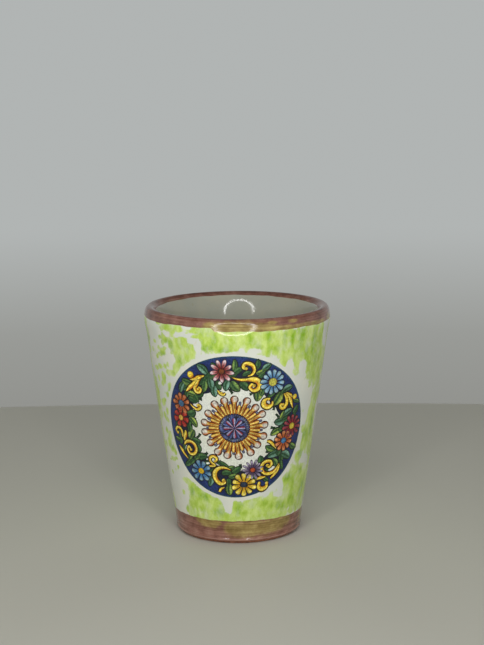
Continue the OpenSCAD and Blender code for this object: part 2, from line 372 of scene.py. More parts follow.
# Green dabs: angle in degrees and height of the middle, half width and half height in mm
FRONT_DABS = [
    (-49, 56.6, 1, 0.7), (-45.5, 55.3, 0.9, 0.6), (-40, 55.2, 1.4, 0.8), (-34.5, 56.6, 1, 0.8),
    (-26, 56.7, 1.3, 0.6), (-48, 54.4, 1.2, 0.9), (-50.5, 52.6, 0.9, 0.6), (-43.5, 50.4, 0.8, 0.7),
    (-53, 53.8, 0.6, 0.5), (-56.5, 51, 0.6, 0.5), (-47.5, 47.2, 0.6, 0.7), (-51, 46.4, 0.6, 0.6),
    (-59, 48.4, 0.6, 0.6), (-65.5, 50, 0.5, 0.6), (-62, 42.5, 0.6, 0.8), (-52.5, 38.6, 0.5, 0.6),
    (-56, 34.2, 0.6, 0.9), (-61.5, 32.6, 0.5, 0.8), (-66, 36, 0.5, 0.7), (-67.5, 24.5, 0.6, 0.9),
    (-52, 19.3, 0.6, 0.5), (-56.5, 18.2, 0.5, 0.4), (-63.5, 17, 0.5, 0.6), (-49, 12.6, 0.5, 0.6),
    (-53, 57.6, 1.2, 0.4), (-43, 57, 1.6, 0.9), (-41, 56.4, 1.6, 1), (-37, 57.3, 1.3, 0.6),
    (-29, 56, 0.8, 0.3), (-22, 57, 1.9, 1), (-22.5, 55.3, 1.9, 0.45), (-18, 56.4, 1.5, 1.2),
    (-47, 53.5, 1.5, 1.2), (-42, 52.9, 1.7, 2), (-37.5, 53, 1.9, 2), (-32, 53.3, 2, 2),
    (-27, 51.9, 1.7, 1.7), (-38, 49.3, 1.2, 2.8), (-34.5, 49.8, 1.4, 2.7), (-31, 50.1, 1.3, 1.6),
    (-28, 50.4, 1.5, 1), (-40.8, 46.8, 0.9, 1.9), (-44, 45, 1.3, 0.7), (-55, 49.3, 1, 0.6),
    (-51.5, 50.2, 1.3, 0.9), (-48.5, 51.1, 0.9, 0.7), (-60.5, 52.3, 0.9, 0.4), (-63, 45.2, 1.3, 0.6),
    (-57.5, 46, 1.3, 0.6), (-54.5, 43.2, 1.2, 1.6), (-57, 41.5, 0.8, 0.7), (-48.5, 44.8, 0.8, 0.6),
    (-48.7, 41, 0.8, 1), (-60.5, 36.2, 1.2, 1), (-58, 37, 0.9, 0.5), (-70, 32.5, 1.2, 0.5),
    (-57.5, 31.5, 0.7, 0.5), (-62.5, 28.5, 0.9, 0.9), (-57.5, 27.5, 0.9, 1.4), (-60, 25.3, 1.5, 1.4),
    (-56, 24, 1.5, 1.1), (-53, 23.2, 0.8, 0.8), (-58, 21, 1.3, 0.6), (-63, 20.5, 0.6, 0.3),
    (-53, 21.5, 0.6, 0.5), (-46, 16.3, 1, 0.6), (-42.5, 16, 1.6, 0.8), (-38.5, 15.2, 1.2, 0.9),
    (-37, 12, 1.5, 3.4), (-33, 11.5, 1.8, 3.7), (-28, 11.4, 1.9, 3.7), (-22, 10.6, 1.9, 3.7),
    (-16, 9.9, 1.7, 3.2), (-12.5, 9.5, 0.9, 2.7), (-41, 9.6, 0.9, 1.7), (-44, 8, 1.2, 1),
    (-10, 7.4, 1.8, 1.3), (-4, 7.4, 1.8, 1.1), (0, 9.6, 1, 3.6), (5, 9, 1.7, 3.2), (-40, 7.2, 1.5, 1.2),
    (-35, 7, 1.9, 1.4), (-29, 6.9, 2, 1.4), (-23, 6.8, 2, 1.4), (-17, 6.7, 2, 1.4), (-11, 6.6, 2, 1.2),
    (-5, 6.6, 2, 1), (2, 6.7, 2, 1.2), (9, 6.8, 2, 1.4), (15, 6.8, 2, 1.4), (21, 6.9, 2, 1.4),
    (27, 6.9, 2, 1.4), (33, 7, 2, 1.4), (39, 7.1, 2, 1.4), (45, 7.2, 2, 1.4), (52, 7.3, 2, 1.4),
    (10, 10.2, 1.7, 3.1), (16, 9.9, 1.9, 3), (21, 9.7, 1.8, 3), (26, 9.8, 1.7, 2.9),
    (31, 10.2, 1.7, 3.1), (35, 12.2, 1, 1.6), (36, 9.2, 1.9, 2.6), (40, 10, 1.8, 3.4),
    (43, 16, 1.3, 2.4), (45, 12.6, 1.8, 4.2), (50, 16, 1.9, 3.8), (51, 10, 2.3, 4), (57, 14, 2.4, 5.6),
    (63, 13, 2.4, 6.6), (69, 13, 2.4, 7), (75, 13, 2.4, 7), (53, 22.2, 1.1, 1.4), (56, 22, 1.4, 2),
    (59, 25.5, 1.4, 3), (57.5, 29, 1.3, 1.5), (54.5, 30, 1.1, 0.5), (62, 27.5, 1.7, 4.2),
    (66, 28, 1.8, 5.8), (72, 27, 2.2, 7), (63, 33.2, 1.1, 1.6), (67, 36.5, 1.6, 3.6), (73, 38, 2.2, 5.6),
    (53.7, 34.3, 0.6, 0.8), (56, 44.2, 1.1, 2), (60, 43.4, 1.7, 3.4), (65, 43.5, 1.9, 4),
    (-15, 54.3, 2.3, 3.2), (-9, 54.4, 2.3, 3.3), (-3, 54.4, 2.3, 3.2), (3, 54.9, 2.3, 3.2),
    (9, 55, 2.3, 3.2), (15, 54.6, 2.3, 3.2), (21, 54, 2.4, 3.8), (27, 53.8, 2.4, 3.8),
    (32.8, 52.1, 1.4, 5.2), (37, 53.3, 1.6, 4.6), (42, 51, 1.6, 5.8), (46, 52.6, 1.5, 4.9),
    (50, 52.6, 1.6, 4.9), (55, 50.2, 1.7, 7.2), (60, 50, 2, 8), (65, 49.6, 2, 8.2), (71, 47.5, 2, 4.5),
]
# White gaps left between them
FRONT_GAPS = [
    (-31.5, 55.6, 1.7, 0.55), (-37, 55.2, 0.9, 0.5), (-25, 54.1, 1.5, 0.5), (-22.2, 53.1, 0.8, 1.2),
    (-45.5, 50.3, 0.9, 0.8), (-44, 48.5, 1.6, 1.3), (-46, 55.2, 0.9, 0.6), (-5.5, 11.7, 0.9, 2),
    (-7, 12.8, 1.1, 0.8), (36.5, 12.9, 1.2, 0.7), (38.7, 14.8, 0.7, 1.2), (63, 20.7, 1.9, 0.8),
    (57.5, 35.5, 1.4, 3), (59.5, 38.6, 1.2, 1.2), (74.5, 54, 1.6, 2.8), (49, 46.6, 1.2, 1.2),
    (37.2, 47.2, 0.9, 1.3), (5, 52.1, 0.6, 0.6), (12.5, 51.9, 1.2, 0.6), (54.5, 27, 0.8, 1.6),
]
# Where the brush laid more colour
DEEP_DABS = [
    (-16, 52.6, 2.2, 0.9), (-11, 54.6, 0.7, 2), (-6, 52.2, 1.6, 0.7), (10, 55.6, 0.6, 1.8),
    (21, 55.5, 0.6, 2), (32, 55, 0.6, 2.4), (38, 55, 0.7, 2), (45, 53.6, 0.9, 2.6), (58, 52, 1.2, 4.8),
    (62, 47, 1.1, 4.6), (-42, 52.5, 0.9, 1.5), (-36, 48.4, 0.7, 2), (-46, 53.2, 1.1, 0.7),
    (-43, 45, 0.8, 0.5), (-53, 49.6, 1.3, 0.6), (59, 28, 1.5, 1.3), (58, 22.6, 1.2, 1.1),
    (45, 17, 0.9, 0.9), (61, 17.5, 0.8, 1), (52, 10, 1.3, 1.9), (40, 9.8, 1.8, 1.2),
    (31, 10.2, 1.1, 0.9), (25, 11, 0.9, 0.9), (-27, 12.6, 1.4, 1.1), (-30, 9, 1.1, 0.9),
    (-14, 8.8, 1.5, 0.9), (2, 9.3, 0.9, 1.1), (8, 8.6, 0.9, 0.7), (-58, 24.6, 1.2, 1),
    (-38, 13.5, 0.7, 1.3), (-52, 43, 0.5, 0.8), (67, 12, 1.2, 3), (70, 30, 1, 3), (27, 52.2, 0.8, 1),
    (16, 52.8, 1, 0.7), (51, 50.5, 0.8, 1.6),
]
# Where the painted bands cross the wash and turn olive: on the rim, then on the foot
OLIVE_DABS = [
    (-14, 58.4, 1.6, 0.8), (-15, 57.6, 1.4, 0.6), (-9, 57.8, 2.2, 1.2), (-3, 57.8, 2.4, 1.5),
    (3, 57.8, 2.4, 1.6), (9, 57.8, 2.4, 1.5), (15, 57.6, 2.4, 1.3), (21, 57.5, 2.2, 1.1),
    (27, 57.3, 2, 0.8), (34, 57.2, 2, 0.8), (41, 57.2, 2, 0.7), (48, 57.2, 1.8, 0.7), (56, 57.3, 2, 0.6),
    (64, 57.3, 2, 0.5), (24, 58.9, 1.2, 0.4), (38, 58.8, 1.4, 0.4), (-32, 5.7, 1.3, 0.7),
    (-27, 5.4, 1.8, 1.1), (-21, 5.3, 1.8, 1.2), (-16, 5.6, 1.2, 0.8), (-6, 4.5, 1.3, 1.6),
    (0, 4.1, 2, 2), (7, 4, 2, 2.1), (14, 4.1, 2, 2.1), (21, 4.2, 2, 2), (28, 4.2, 2, 2),
    (35, 4.4, 2, 1.9), (42, 4.6, 1.9, 1.7), (49, 5, 1.4, 1.3),
]
BACK_SEED = 7
BAND_SEED = 3
HALO_R = 19.75                  # the wash stays outside this distance from the medallion's centre


def back_dabs():
    """Dabs and gaps round the sides and back, where the brush went on in the same manner."""
    random = np.random.default_rng(BACK_SEED)
    dabs, gaps = [], []
    for angle in range(82, 290, 7):
        for z in (8.5, 15.0, 23.0, 31.0, 39.0, 47.0, 54.5):
            place = (angle + random.uniform(-3.5, 3.5), z + random.uniform(-3, 3))
            size = (random.uniform(1.5, 2.8), random.uniform(2.4, 6.0))
            if random.random() < 0.70:
                dabs.append(place + size)
            else:
                gaps.append(place + (size[0] * 0.8, size[1] * 0.7))
    return dabs, gaps


def band_dabs():
    """Stretches of the rim and foot bands round the back that lie over the wash."""
    random = np.random.default_rng(BAND_SEED)
    dabs = []
    for z, half_h in ((57.5, 1.0), (4.4, 1.8)):
        angle = 78.0
        while angle < 270:
            stop = min(angle + random.uniform(8, 46), 276)
            while angle < stop:
                dabs.append((angle, z + random.uniform(-0.3, 0.3), 2.0, half_h * random.uniform(0.7, 1.2)))
                angle += 5
            angle += random.uniform(10, 36)
    return dabs


def dab_field(dabs, theta, z):
    """The strongest dab at each point: 1 in the middle of one, 0 away from all."""
    strongest = np.zeros_like(theta)
    for angle, height, half_w, half_h in dabs:
        turn = half_turn(theta - math.radians(angle))
        q = (turn * outer_r(np.clip(z, 1, 58)) / half_w) ** 2 + ((z - height) / half_h) ** 2
        strongest = np.maximum(strongest, np.exp(-0.7 * q ** 1.5))
    return strongest


BACK_DABS, BACK_GAPS = back_dabs()
BACK_DEEP = [(a + 3, z + 1, w * 0.5, h * 0.5) for a, z, w, h in BACK_DABS[::3]]
BAND_DABS = band_dabs()


def wash_cover(theta, z):
    """How much green wash lies at a point, before the brush's own raggedness."""
    cover = dab_field(FRONT_DABS + BACK_DABS, theta, z)
    cover = cover - dab_field(FRONT_GAPS + BACK_GAPS, theta, z)
    s = path_at(np.clip(z, GLAZE_EDGE_Z + 0.4, CUP_H - 1.5))
    slant = s - S_CENTRE + APEX
    spread = half_turn(theta) * math.sin(WALL_ANGLE)
    distance = np.hypot(slant * np.sin(spread), slant * np.cos(spread) - APEX)
    halo = 1 - ease(HALO_R - 0.5, HALO_R + 0.5, distance)
    return np.clip(cover - 1.5 * halo, -1, 1)


def olive_cover(theta, z):
    """How much wash lies under the painted bands, where it turns them olive."""
    return dab_field(OLIVE_DABS + BAND_DABS, theta, z)


def depth_of_colour(theta, z):
    """How heavily the wash was laid on, from 0 to 1."""
    return dab_field(DEEP_DABS + BACK_DEEP, theta, z)


def painted_bead_highlight(theta, z):
    """Painted highlight along the bead above the foot, drawn as paler mauve, and less than 0 at the very
    bottom edge, which is drawn darker.
    """
    highlight_strength = 0.66 + 0.14 * np.sin(4 * theta + 1) + 0.10 * np.sin(11 * theta)
    return highlight_strength * np.exp(-((z - BEAD_Z) / 0.19) ** 2) - 0.8 * (1 - ease(0.65, 0.95, z))


# ---------------------------------------------------------------- materials


class Nodes:
    """Short hand for building one material's nodes."""

    def __init__(self, name, roughness):
        self.material = bpy.data.materials.new(name)
        self.material.use_nodes = True
        self.tree = self.material.node_tree
        self.shader = self.tree.nodes["Principled BSDF"]
        self.shader.inputs["Roughness"].default_value = roughness
        self.shader.inputs["IOR"].default_value = 1.5

    def add(self, kind, **settings):
        node = self.tree.nodes.new(kind)
        for key, value in settings.items():
            setattr(node, key, value)
        return node

    def link(self, source, target):
        self.tree.links.new(source, target)

    def place(self, stretch):
        """The cup's own coordinates, scaled: a smaller number stretches the pattern along that axis."""
        where = self.add("ShaderNodeTexCoord")
        mapping = self.add("ShaderNodeMapping")
        mapping.inputs["Scale"].default_value = stretch
        self.link(where.outputs["Object"], mapping.inputs["Vector"])
        return mapping.outputs["Vector"]

    def noise(self, scale, detail=3.0, rough=0.55, stretch=(1, 1, 1)):
        node = self.add("ShaderNodeTexNoise")
        node.inputs["Scale"].default_value = scale
        node.inputs["Detail"].default_value = detail
        node.inputs["Roughness"].default_value = rough
        self.link(self.place(stretch), node.inputs["Vector"])
        return node.outputs["Fac"]

    def attribute(self, name, output):
        return self.add("ShaderNodeAttribute", attribute_name=name).outputs[output]

    def math(self, operation, a, b=None, c=None):
        node = self.add("ShaderNodeMath", operation=operation)
        for socket, value in zip(node.inputs, (a, b, c)):
            if value is None:
                continue
            if isinstance(value, (int, float)):
                socket.default_value = value
            else:
                self.link(value, socket)
        return node.outputs[0]

    def spread(self, value, low, high, out_low=0.0, out_high=1.0):
        """value from low to high, smoothly mapped to out_low to out_high."""
        node = self.add("ShaderNodeMapRange", interpolation_type="SMOOTHSTEP")
        self.link(value, node.inputs["Value"])
        for key, number in (("From Min", low), ("From Max", high), ("To Min", out_low), ("To Max", out_high)):
            node.inputs[key].default_value = number
        return node.outputs["Result"]

    def mix(self, factor, a, b, mode="MIX"):
        node = self.add("ShaderNodeMix", data_type="RGBA", blend_type=mode)
        for socket, value in ((node.inputs["Factor"], factor), (node.inputs["A"], a), (node.inputs["B"], b)):
            if isinstance(value, (int, float)):
                socket.default_value = value
            elif isinstance(value, bpy.types.NodeSocket):
                self.link(value, socket)
            else:
                socket.default_value = (*[float(k) for k in value], 1.0)
        return node.outputs["Result"]

    def ramp(self, factor, stops):
        node = self.add("ShaderNodeValToRGB")
        set_stops(node, stops)
        self.link(factor, node.inputs["Fac"])
        return node.outputs["Color"]

    def add_up(self, *terms):
        """The sum of values, each given with its weight."""
        total = None
        for value, weight in terms:
            share = self.math("MULTIPLY", value, weight)
            total = share if total is None else self.math("ADD", total, share)
        return total

    def colour(self, socket):
        self.link(socket, self.shader.inputs["Base Color"])

    def roughness(self, socket):
        self.link(socket, self.shader.inputs["Roughness"])

    def bump(self, height, distance, strength=1.0):
        node = self.add("ShaderNodeBump")
        node.inputs["Strength"].default_value = strength
        node.inputs["Distance"].default_value = distance
        self.link(height, node.inputs["Height"])
        self.link(node.outputs["Normal"], self.shader.inputs["Normal"])


# Roughness on each shader's own socket; the material's nodes vary it over the surface
GLOSS = 0.09
BAND_ROUGHNESS = 0.1
PRINT_ROUGHNESS = 0.14
CLAY_ROUGHNESS = 0.75
WHITE = srgb(226, 225, 210)
WHITE_WARM = srgb(208, 200, 172)
WHITE_COOL = srgb(214, 217, 207)
INSIDE_PAINTED_SHADE = np.array([0.62, 0.61, 0.555])      # the inside glaze is painted darker and greyer, as painted shade inside the cup
# Brushed colours, each from where it lies thick to where it lies thin
MAUVES = (srgb(94, 54, 42), srgb(144, 98, 84), srgb(184, 142, 126))
OLIVES = (srgb(112, 88, 44), srgb(158, 136, 78), srgb(206, 188, 118))
GREENS = (srgb(136, 179, 34), srgb(182, 209, 88), srgb(208, 227, 134))
# Fired clay, from dark to light
CLAYS = (srgb(92, 52, 34), srgb(139, 84, 58), srgb(176, 121, 90))


def wash_amount(n):
    """Where the green wash shows, with the brush's ragged edge: a mask from 0 to 1, and a signed
    distance inside it."""
    ragged = n.noise(760, 5, 0.65, (1, 1, 0.62))
    coarse = n.noise(230, 3, 0.6, (1, 1, 0.7))
    edge = n.add_up((ragged, 0.5), (coarse, 0.5))
    inside = n.math("ADD", n.attribute("wash", "Fac"), n.math("MULTIPLY", n.math("SUBTRACT", edge, 0.5), 3.0))
    return n.spread(inside, 0.24, 0.52), inside


def white_colour(n, tone=1.0):
    """Off-white glaze, a little cloudy and specked. A tone below 1 darkens it, as painted shade."""
    cloud = n.noise(110, 4, 0.6)
    base = n.mix(n.spread(cloud, 0.35, 0.7), WHITE_COOL * tone, WHITE * tone)
    speck = n.spread(n.noise(900, 2, 0.5), 0.66, 0.74)
    return n.mix(n.math("MULTIPLY", speck, 0.35), base, WHITE_WARM * tone)


def glaze_material(name, tone=1.0):
    """Plain white glaze, darker with a tone below 1, which is painted shade."""
    n = Nodes(name, GLOSS)
    n.colour(white_colour(n, tone))
    n.roughness(n.spread(n.noise(300, 3), 0.3, 0.7, 0.06, 0.13))
    n.bump(n.noise(420, 2, 0.4), 0.00002, 0.5)
    return n.material


def washed_glaze_material(name):
    """White glaze with the green wash dabbed over it, mostly up and down."""
    n = Nodes(name, GLOSS)
    cover, inside = wash_amount(n)
    mottle = n.noise(640, 5, 0.7, (1, 1, 0.5))
    pools = n.noise(260, 4, 0.6, (1, 1, 0.6))
    tone = n.add_up((mottle, 0.5), (pools, 0.5), (n.attribute("depth", "Fac"), 0.17))
    green = n.ramp(tone, list(zip((0.40, 0.54, 0.72), reversed(GREENS))))
    film = n.spread(n.noise(420, 4, 0.6, (1, 1, 0.7)), 0.30, 0.55, 0.62, 1.0)
    thin = n.math("MULTIPLY", n.math("MULTIPLY", cover, film), n.spread(inside, 0.3, 0.9, 0.72, 1.0))
    n.colour(n.mix(thin, white_colour(n), green))
    n.roughness(n.spread(n.noise(300, 3), 0.3, 0.7, 0.06, 0.14))
    n.bump(n.noise(420, 2, 0.4), 0.00002, 0.5)
    return n.material


def band_material(name, strength=1.0):
    """Mauve brushed round the cup, olive where it lies over the green wash, with a painted highlight along
    the bead above the foot and a darker bottom edge. A strength below 1 is a darker mauve."""
    n = Nodes(name, BAND_ROUGHNESS)
    lines = n.noise(300, 4, 0.65, (0.16, 0.16, 7.0))
    blotches = n.noise(330, 4, 0.65, (1, 1, 1.5))
    tone = n.add_up((lines, 0.5), (blotches, 0.5))
    stops = (0.34, 0.51, 0.70)
    mauve = n.ramp(tone, [(stop, shade * strength) for stop, shade in zip(stops, MAUVES)])
    olive = n.ramp(tone, list(zip(stops, OLIVES)))
    streaks = n.noise(420, 5, 0.7, (0.3, 0.3, 4.0))
    grains = n.noise(700, 4, 0.7)
    broken = n.add_up((streaks, 1.1), (grains, 0.7))
    under = n.math("ADD", n.attribute("wash", "Fac"), n.math("SUBTRACT", broken, 0.9))
    glazed = n.mix(n.spread(under, 0.0, 0.95, 0.0, 0.92), mauve, olive)
    # Painted highlight: paler mauve along the foot's bead; below it the bottom edge is drawn darker
    depth = n.attribute("depth", "Fac")
    glazed = n.mix(n.spread(depth, 0.0, 1.0), glazed, MAUVES[2])
    n.colour(n.mix(n.spread(depth, -1.0, 0.0, 1.0, 0.0), glazed, MAUVES[0]))
    n.roughness(n.spread(lines, 0.3, 0.7, 0.08, 0.16))
    n.bump(lines, 0.00003, 0.6)
    return n.material


def ink_material(name, grain=0.25):
    """Printed colour: the drawn tint, broken up a little by the print's grain."""
    n = Nodes(name, PRINT_ROUGHNESS)
    tint = n.attribute("ink", "Color")
    fine = n.spread(n.noise(2600, 2, 0.5), 0.35, 0.65, 0.72, 1.28)
    cloud = n.spread(n.noise(500, 3, 0.6), 0.3, 0.7, 0.86, 1.12)
    shade = n.math("MULTIPLY", fine, cloud)
    node = n.add("ShaderNodeCombineColor")
    for key in ("Red", "Green", "Blue"):
        n.link(shade, node.inputs[key])
    n.colour(n.mix(grain * 2.2, tint, n.mix(1.0, tint, node.outputs["Color"], "MULTIPLY")))
    n.roughness(n.spread(n.noise(700, 2), 0.3, 0.7, 0.11, 0.2))
    n.bump(n.noise(1100, 2, 0.5), 0.000015, 0.4)
    return n.material


def clay_material(name):
    """Bare fired earthenware."""
    n = Nodes(name, CLAY_ROUGHNESS)
    grain = n.noise(900, 5, 0.65)
    patches = n.noise(160, 3, 0.55)
    tone = n.add_up((grain, 0.6), (patches, 0.4))
    n.colour(n.ramp(tone, list(zip((0.35, 0.5, 0.66), CLAYS))))
    n.roughness(n.spread(grain, 0.3, 0.7, 0.62, 0.88))
    n.bump(grain, 0.00008, 0.8)
    return n.material


# ---------------------------------------------------------------- glaze coats and bands

THETA = np.linspace(0, 2 * np.pi, COLUMNS, endpoint=False)


def rim_edge(theta):
    """Height of the rim band's lower edge: the brush ran lower across the front and right."""
    turn = half_turn(theta)
    low = ease(-13.5, -10.5, np.degrees(turn)) * (1 - ease(84, 100, np.degrees(turn)))
    far = 0.5 + 0.5 * np.sin(2 * turn + 1.0)
    waver = 0.07 * np.sin(9 * turn + 1) + 0.05 * np.sin(17 * turn) + 0.03 * np.sin(41 * turn)
    return RIM_BAND_Z + 0.95 * (1 - low) * (0.75 + 0.25 * far) + waver


def foot_edge(theta):
    """Height of the foot band's upper edge."""
    waver = 0.10 * np.sin(2 * theta + 2) + 0.05 * np.sin(5 * theta) + 0.04 * np.sin(19 * theta)
    return FOOT_BAND_Z + waver + 0.03 * np.sin(37 * theta)


def inner_edge(theta):
    """Length along the profile at which the rim band ends, inside the lip."""
    waver = 0.08 * np.sin(3 * theta + 1) + 0.05 * np.sin(13 * theta) + 0.03 * np.sin(29 * theta)
    return STARTS["inside"] - 0.15 + waver


def coat(name, start, end, rows, material, replaces, pole=None, cover=wash_cover,
         depth=depth_of_colour):
    """A coat of glaze between two lengths along the profile, which may change round the cup. cover
    and depth give its two masks from an angle and a height."""
    part = np.linspace(0, 1, rows)[:, None]
    s = start[None, :] * (1 - part) + end[None, :] * part
    theta = np.broadcast_to(THETA[None, :], s.shape)
    face, normal = surface(theta, s)
    back, _ = surface(theta, s, np.full(s.shape, -GLAZE_T))
    height = face[..., 2]
    masks = np.stack([cover(theta, height), depth(theta, height)], -1)
    solid = Solid()
    solid.add(face, normal, back, masks=masks, wraps=True, pole=pole)
    return solid.build(name, material, replaces)


def build_coats():
    """The coats from the foot over the lip to the middle of the inside, edge to edge."""
    # The inside glaze is painted darker than the white outside: painted shade inside the cup
    white = glaze_material("inside_glaze_painted_shade", INSIDE_PAINTED_SHADE)
    washed = washed_glaze_material("washed_glaze")
    foot_band = band_material("foot_mauve_glaze")
    rim_band = band_material("rim_mauve_glaze", 0.82)
    foot_top = path_at(foot_edge(THETA))
    rim_bottom = path_at(rim_edge(THETA))
    rim_inside = inner_edge(THETA)
    nothing = np.zeros(COLUMNS)
    middle = np.full(COLUMNS, STARTS["end"])
    coat("foot_band_glaze", nothing, foot_top, COAT_ROWS["foot"], foot_band,
         ["foot_band"], cover=olive_cover, depth=painted_bead_highlight)
    coat("outer_wall_glaze", foot_top, rim_bottom, COAT_ROWS["wall"], washed,
         ["outer_glaze", "green_wash"])
    coat("rim_band_glaze", rim_bottom, rim_inside, COAT_ROWS["rim"], rim_band,
         ["rim_band"], cover=olive_cover, depth=painted_bead_highlight)
    coat("inside_glaze", rim_inside, middle, COAT_ROWS["inside"], white,
         ["inner_glaze"], pole=-1)


def build_base():
    """Glaze in the recess under the cup, sagging a little, with an uneven edge."""
    radius, bottom, top = base_high.x / MM, base_low.z / MM, base_high.z / MM
    rho = np.concatenate([[0.0], np.linspace(0.08, 1, 26)])[:, None]
    r = rho * (radius + 0.15 * np.sin(5 * THETA + 1) + 0.08 * np.sin(11 * THETA))[None, :]
    sag = 0.06 * np.sin(r * 0.9 + 0.5 * np.sin(THETA)[None, :]) - 0.12 * ease(0.9, 1.0, rho)
    low = bottom + 0.05 - sag * 0.5
    face = round_cup(r, THETA, low)
    back = face.copy()
    back[..., 2] = top
    normal = np.zeros_like(face)
    normal[..., 2] = -1
    solid = Solid()
    solid.add(face, normal, back, wraps=True, pole=0)
    solid.build("recess_glaze", glaze_material("base_glaze"), ["base_glaze"])


def build_clay():
    """The clay under the glaze, closed below by its foot ring and recess."""
    theta = np.linspace(0, 2 * np.pi, COLUMNS // 2, endpoint=False)
    length = np.linspace(STARTS["end"], float(path_at(CLAY_MEET_Z)), CLAY_ROWS)[:, None]
    face, normal = surface(theta[None, :], length, np.full((CLAY_ROWS, len(theta)), CLAY_DEPTH))
    recess_z = base_high.z / MM
    line = np.concatenate([
        [[0.0, recess_z]],
        arc(RECESS_R - RECESS_EDGE, recess_z - RECESS_EDGE, RECESS_EDGE, 90, 0, 12),
        arc(RECESS_R + RECESS_EDGE, RECESS_EDGE, RECESS_EDGE, 180, 270, 12),
        arc(FOOT_R - FOOT_ROUND, FOOT_ROUND, FOOT_ROUND, -90, 0, 24),
        [[float(outer_r(CLAY_MEET_Z)) + CLAY_DEPTH, CLAY_MEET_Z]],
    ])
    run = np.concatenate([[0], np.cumsum(np.linalg.norm(np.diff(line, axis=0), axis=1))])
    even = np.linspace(0, run[-1], CLAY_ROWS)
    r, z = (np.interp(even, run, line[:, k])[:, None] for k in (0, 1))
    out = unit(np.stack([np.gradient(z[:, 0]), -np.gradient(r[:, 0])], 1))
    waver = 0.05 * np.sin(3 * theta + 1 + 0.5 * np.sin(5 * theta))[None, :]
    r = r + waver * ease(12.5, 15.5, r) * (z < CLAY_MEET_Z - 0.3)
    back = round_cup(r, theta, z)
    out_r = np.broadcast_to(out[:, :1], r.shape)
    solid = Solid()
    solid.add(face, normal, back, wraps=True, pole=0, back_normal=round_cup(out_r, theta, out[:, 1:]))
    solid.build("clay_cup", clay_material("bare_clay"), ["clay_body"])


build_coats()
build_base()
build_clay()

# ---------------------------------------------------------------- medallion colours

COBALT = srgb(16, 34, 82)
COBALT_LIGHT = srgb(36, 56, 114)
COBALT_DARK = srgb(8, 18, 34)
TEAL_EDGE = srgb(34, 78, 92)
CREAM = srgb(222, 224, 214)
BLACK = srgb(10, 14, 16)
INK_GREEN = srgb(8, 18, 12)
LEAF_DARK = srgb(38, 80, 48)
LEAF_MID = srgb(94, 140, 78)
LEAF_LIGHT = srgb(182, 206, 92)
LEAF_TONES = {
    "dark": LEAF_MID * 0.8, "mid": LEAF_LIGHT * 0.35 + LEAF_MID * 0.65, "light": LEAF_LIGHT,
    "teal": srgb(130, 176, 154),
}
INK_BROWN = srgb(38, 18, 4)
YELLOW = srgb(236, 204, 52)
YELLOW_PALE = srgb(246, 232, 130)
YELLOW_SHADE = srgb(186, 104, 24)
INK_BLUE = srgb(10, 14, 34)
INK_RED = srgb(48, 10, 10)

# ---------------------------------------------------------------- medallion strokes

# How far each layer of the print stands off the glaze, in mm, and how far its dark outline reaches
TOP = {"ground": 0.03, "leaf": 0.045, "scroll": 0.057, "flower": 0.069, "heart": 0.078}
SHADE = {"leaf": 0.037, "scroll": 0.051, "flower": 0.063}
OUTLINE = 0.17
INK_BACK = 0.0
RAYS = 17                       # long petals of the sunburst
RAY_TURN = 3.0                  # how far round it is turned, in degrees
DISC_R = 4.0                    # the disc in the middle of it


def turned(x, y, degrees, u, v):
    """Places x, y turned by an angle and moved to u, v."""
    a = math.radians(degrees)
    return u + x * math.cos(a) - y * math.sin(a), v + x * math.sin(a) + y * math.cos(a)


def lay(solid, u, v, tint, top, wraps=False, pole=None):
    """Adds one patch of ink, drawn flat, to a solid, top being its height off the glaze."""
    face, normal = wrap_round(u, v, np.full(u.shape, top))
    back, _ = wrap_round(u, v, np.full(u.shape, INK_BACK))
    solid.add(face, normal, back, tint=tint, wraps=wraps, pole=pole)


def plain(colour, u):
    """One colour for every point of a grid."""
    return np.broadcast_to(colour, u.shape + (3,))


def leaf(solid, u, v, length, width, angle, tone, bend):
    """An oval leaf with a vein, dark on one side of it and lit on the other, on a dark outline."""
    for grow, top in ((OUTLINE - 0.03, SHADE["leaf"]), (0.0, TOP["leaf"])):
        t = np.linspace(0, 1, 19)[:, None]
        w = np.array([-1, -0.86, -0.74, -0.5, -0.25, -0.1, 0, 0.1, 0.25, 0.5, 0.74, 0.86, 1])[None, :]
        t, w = np.broadcast_arrays(t, w)
        half = (width / 2 + grow) * np.sin(np.pi * np.clip(t, 0.004, 0.996) ** 0.9) ** 0.55 + 0.015
        x = (length + 2 * grow) * (t - 0.5)
        y = w * half + bend * length * ((2 * t - 1) ** 2 - 0.5) * 0.5
        if grow:
            lay(solid, *turned(x, y, angle, u, v), plain(BLACK, x), top)
    lit = ease(-0.1, 0.6, w) * (0.3 + 0.7 * np.sin(np.pi * t))
    tint = blend(LEAF_DARK, LEAF_TONES[tone], lit)
    tint = blend(tint, LEAF_TONES[tone] * 0.7, 0.55 * ease(0.3, 0.5, -w) * (1 - ease(0.6, 0.75, -w)))
    veins = 0.5 + 0.5 * np.sin(2 * np.pi * (t * 4.5 - np.abs(w) * 1.1))
    tint = tint * (1 - 0.35 * veins * (np.abs(w) > 0.12))[..., None]
    tint = blend(tint, INK_GREEN, 0.85 * (1 - ease(0.02, 0.12, np.abs(w))) * (1 - ease(0.82, 0.92, t)))
    line = np.maximum(ease(0.78, 0.95, np.abs(w)), 1 - ease(0.0, 0.06, t))
    tint = blend(tint, INK_GREEN, np.maximum(line, ease(0.93, 0.99, t)))
    lay(solid, *turned(x, y, angle, u, v), tint, TOP["leaf"])


def smooth_path(points, per=8):
    """A smooth line through given points, each a place and a half width."""
    p = np.array(points, float)
    p = np.concatenate([[2 * p[0] - p[1]], p, [2 * p[-1] - p[-2]]])
    out = []
    for k in range(1, len(p) - 2):
        for t in np.linspace(0, 1, per, endpoint=False):
            a, b, c, d = p[k - 1], p[k], p[k + 1], p[k + 2]
            out.append(0.5 * (2 * b + (c - a) * t + (2 * a - 5 * b + 4 * c - d) * t ** 2
                              + (3 * b - a - 3 * c + d) * t ** 3))
    out.append(p[-2])
    return np.array(out)


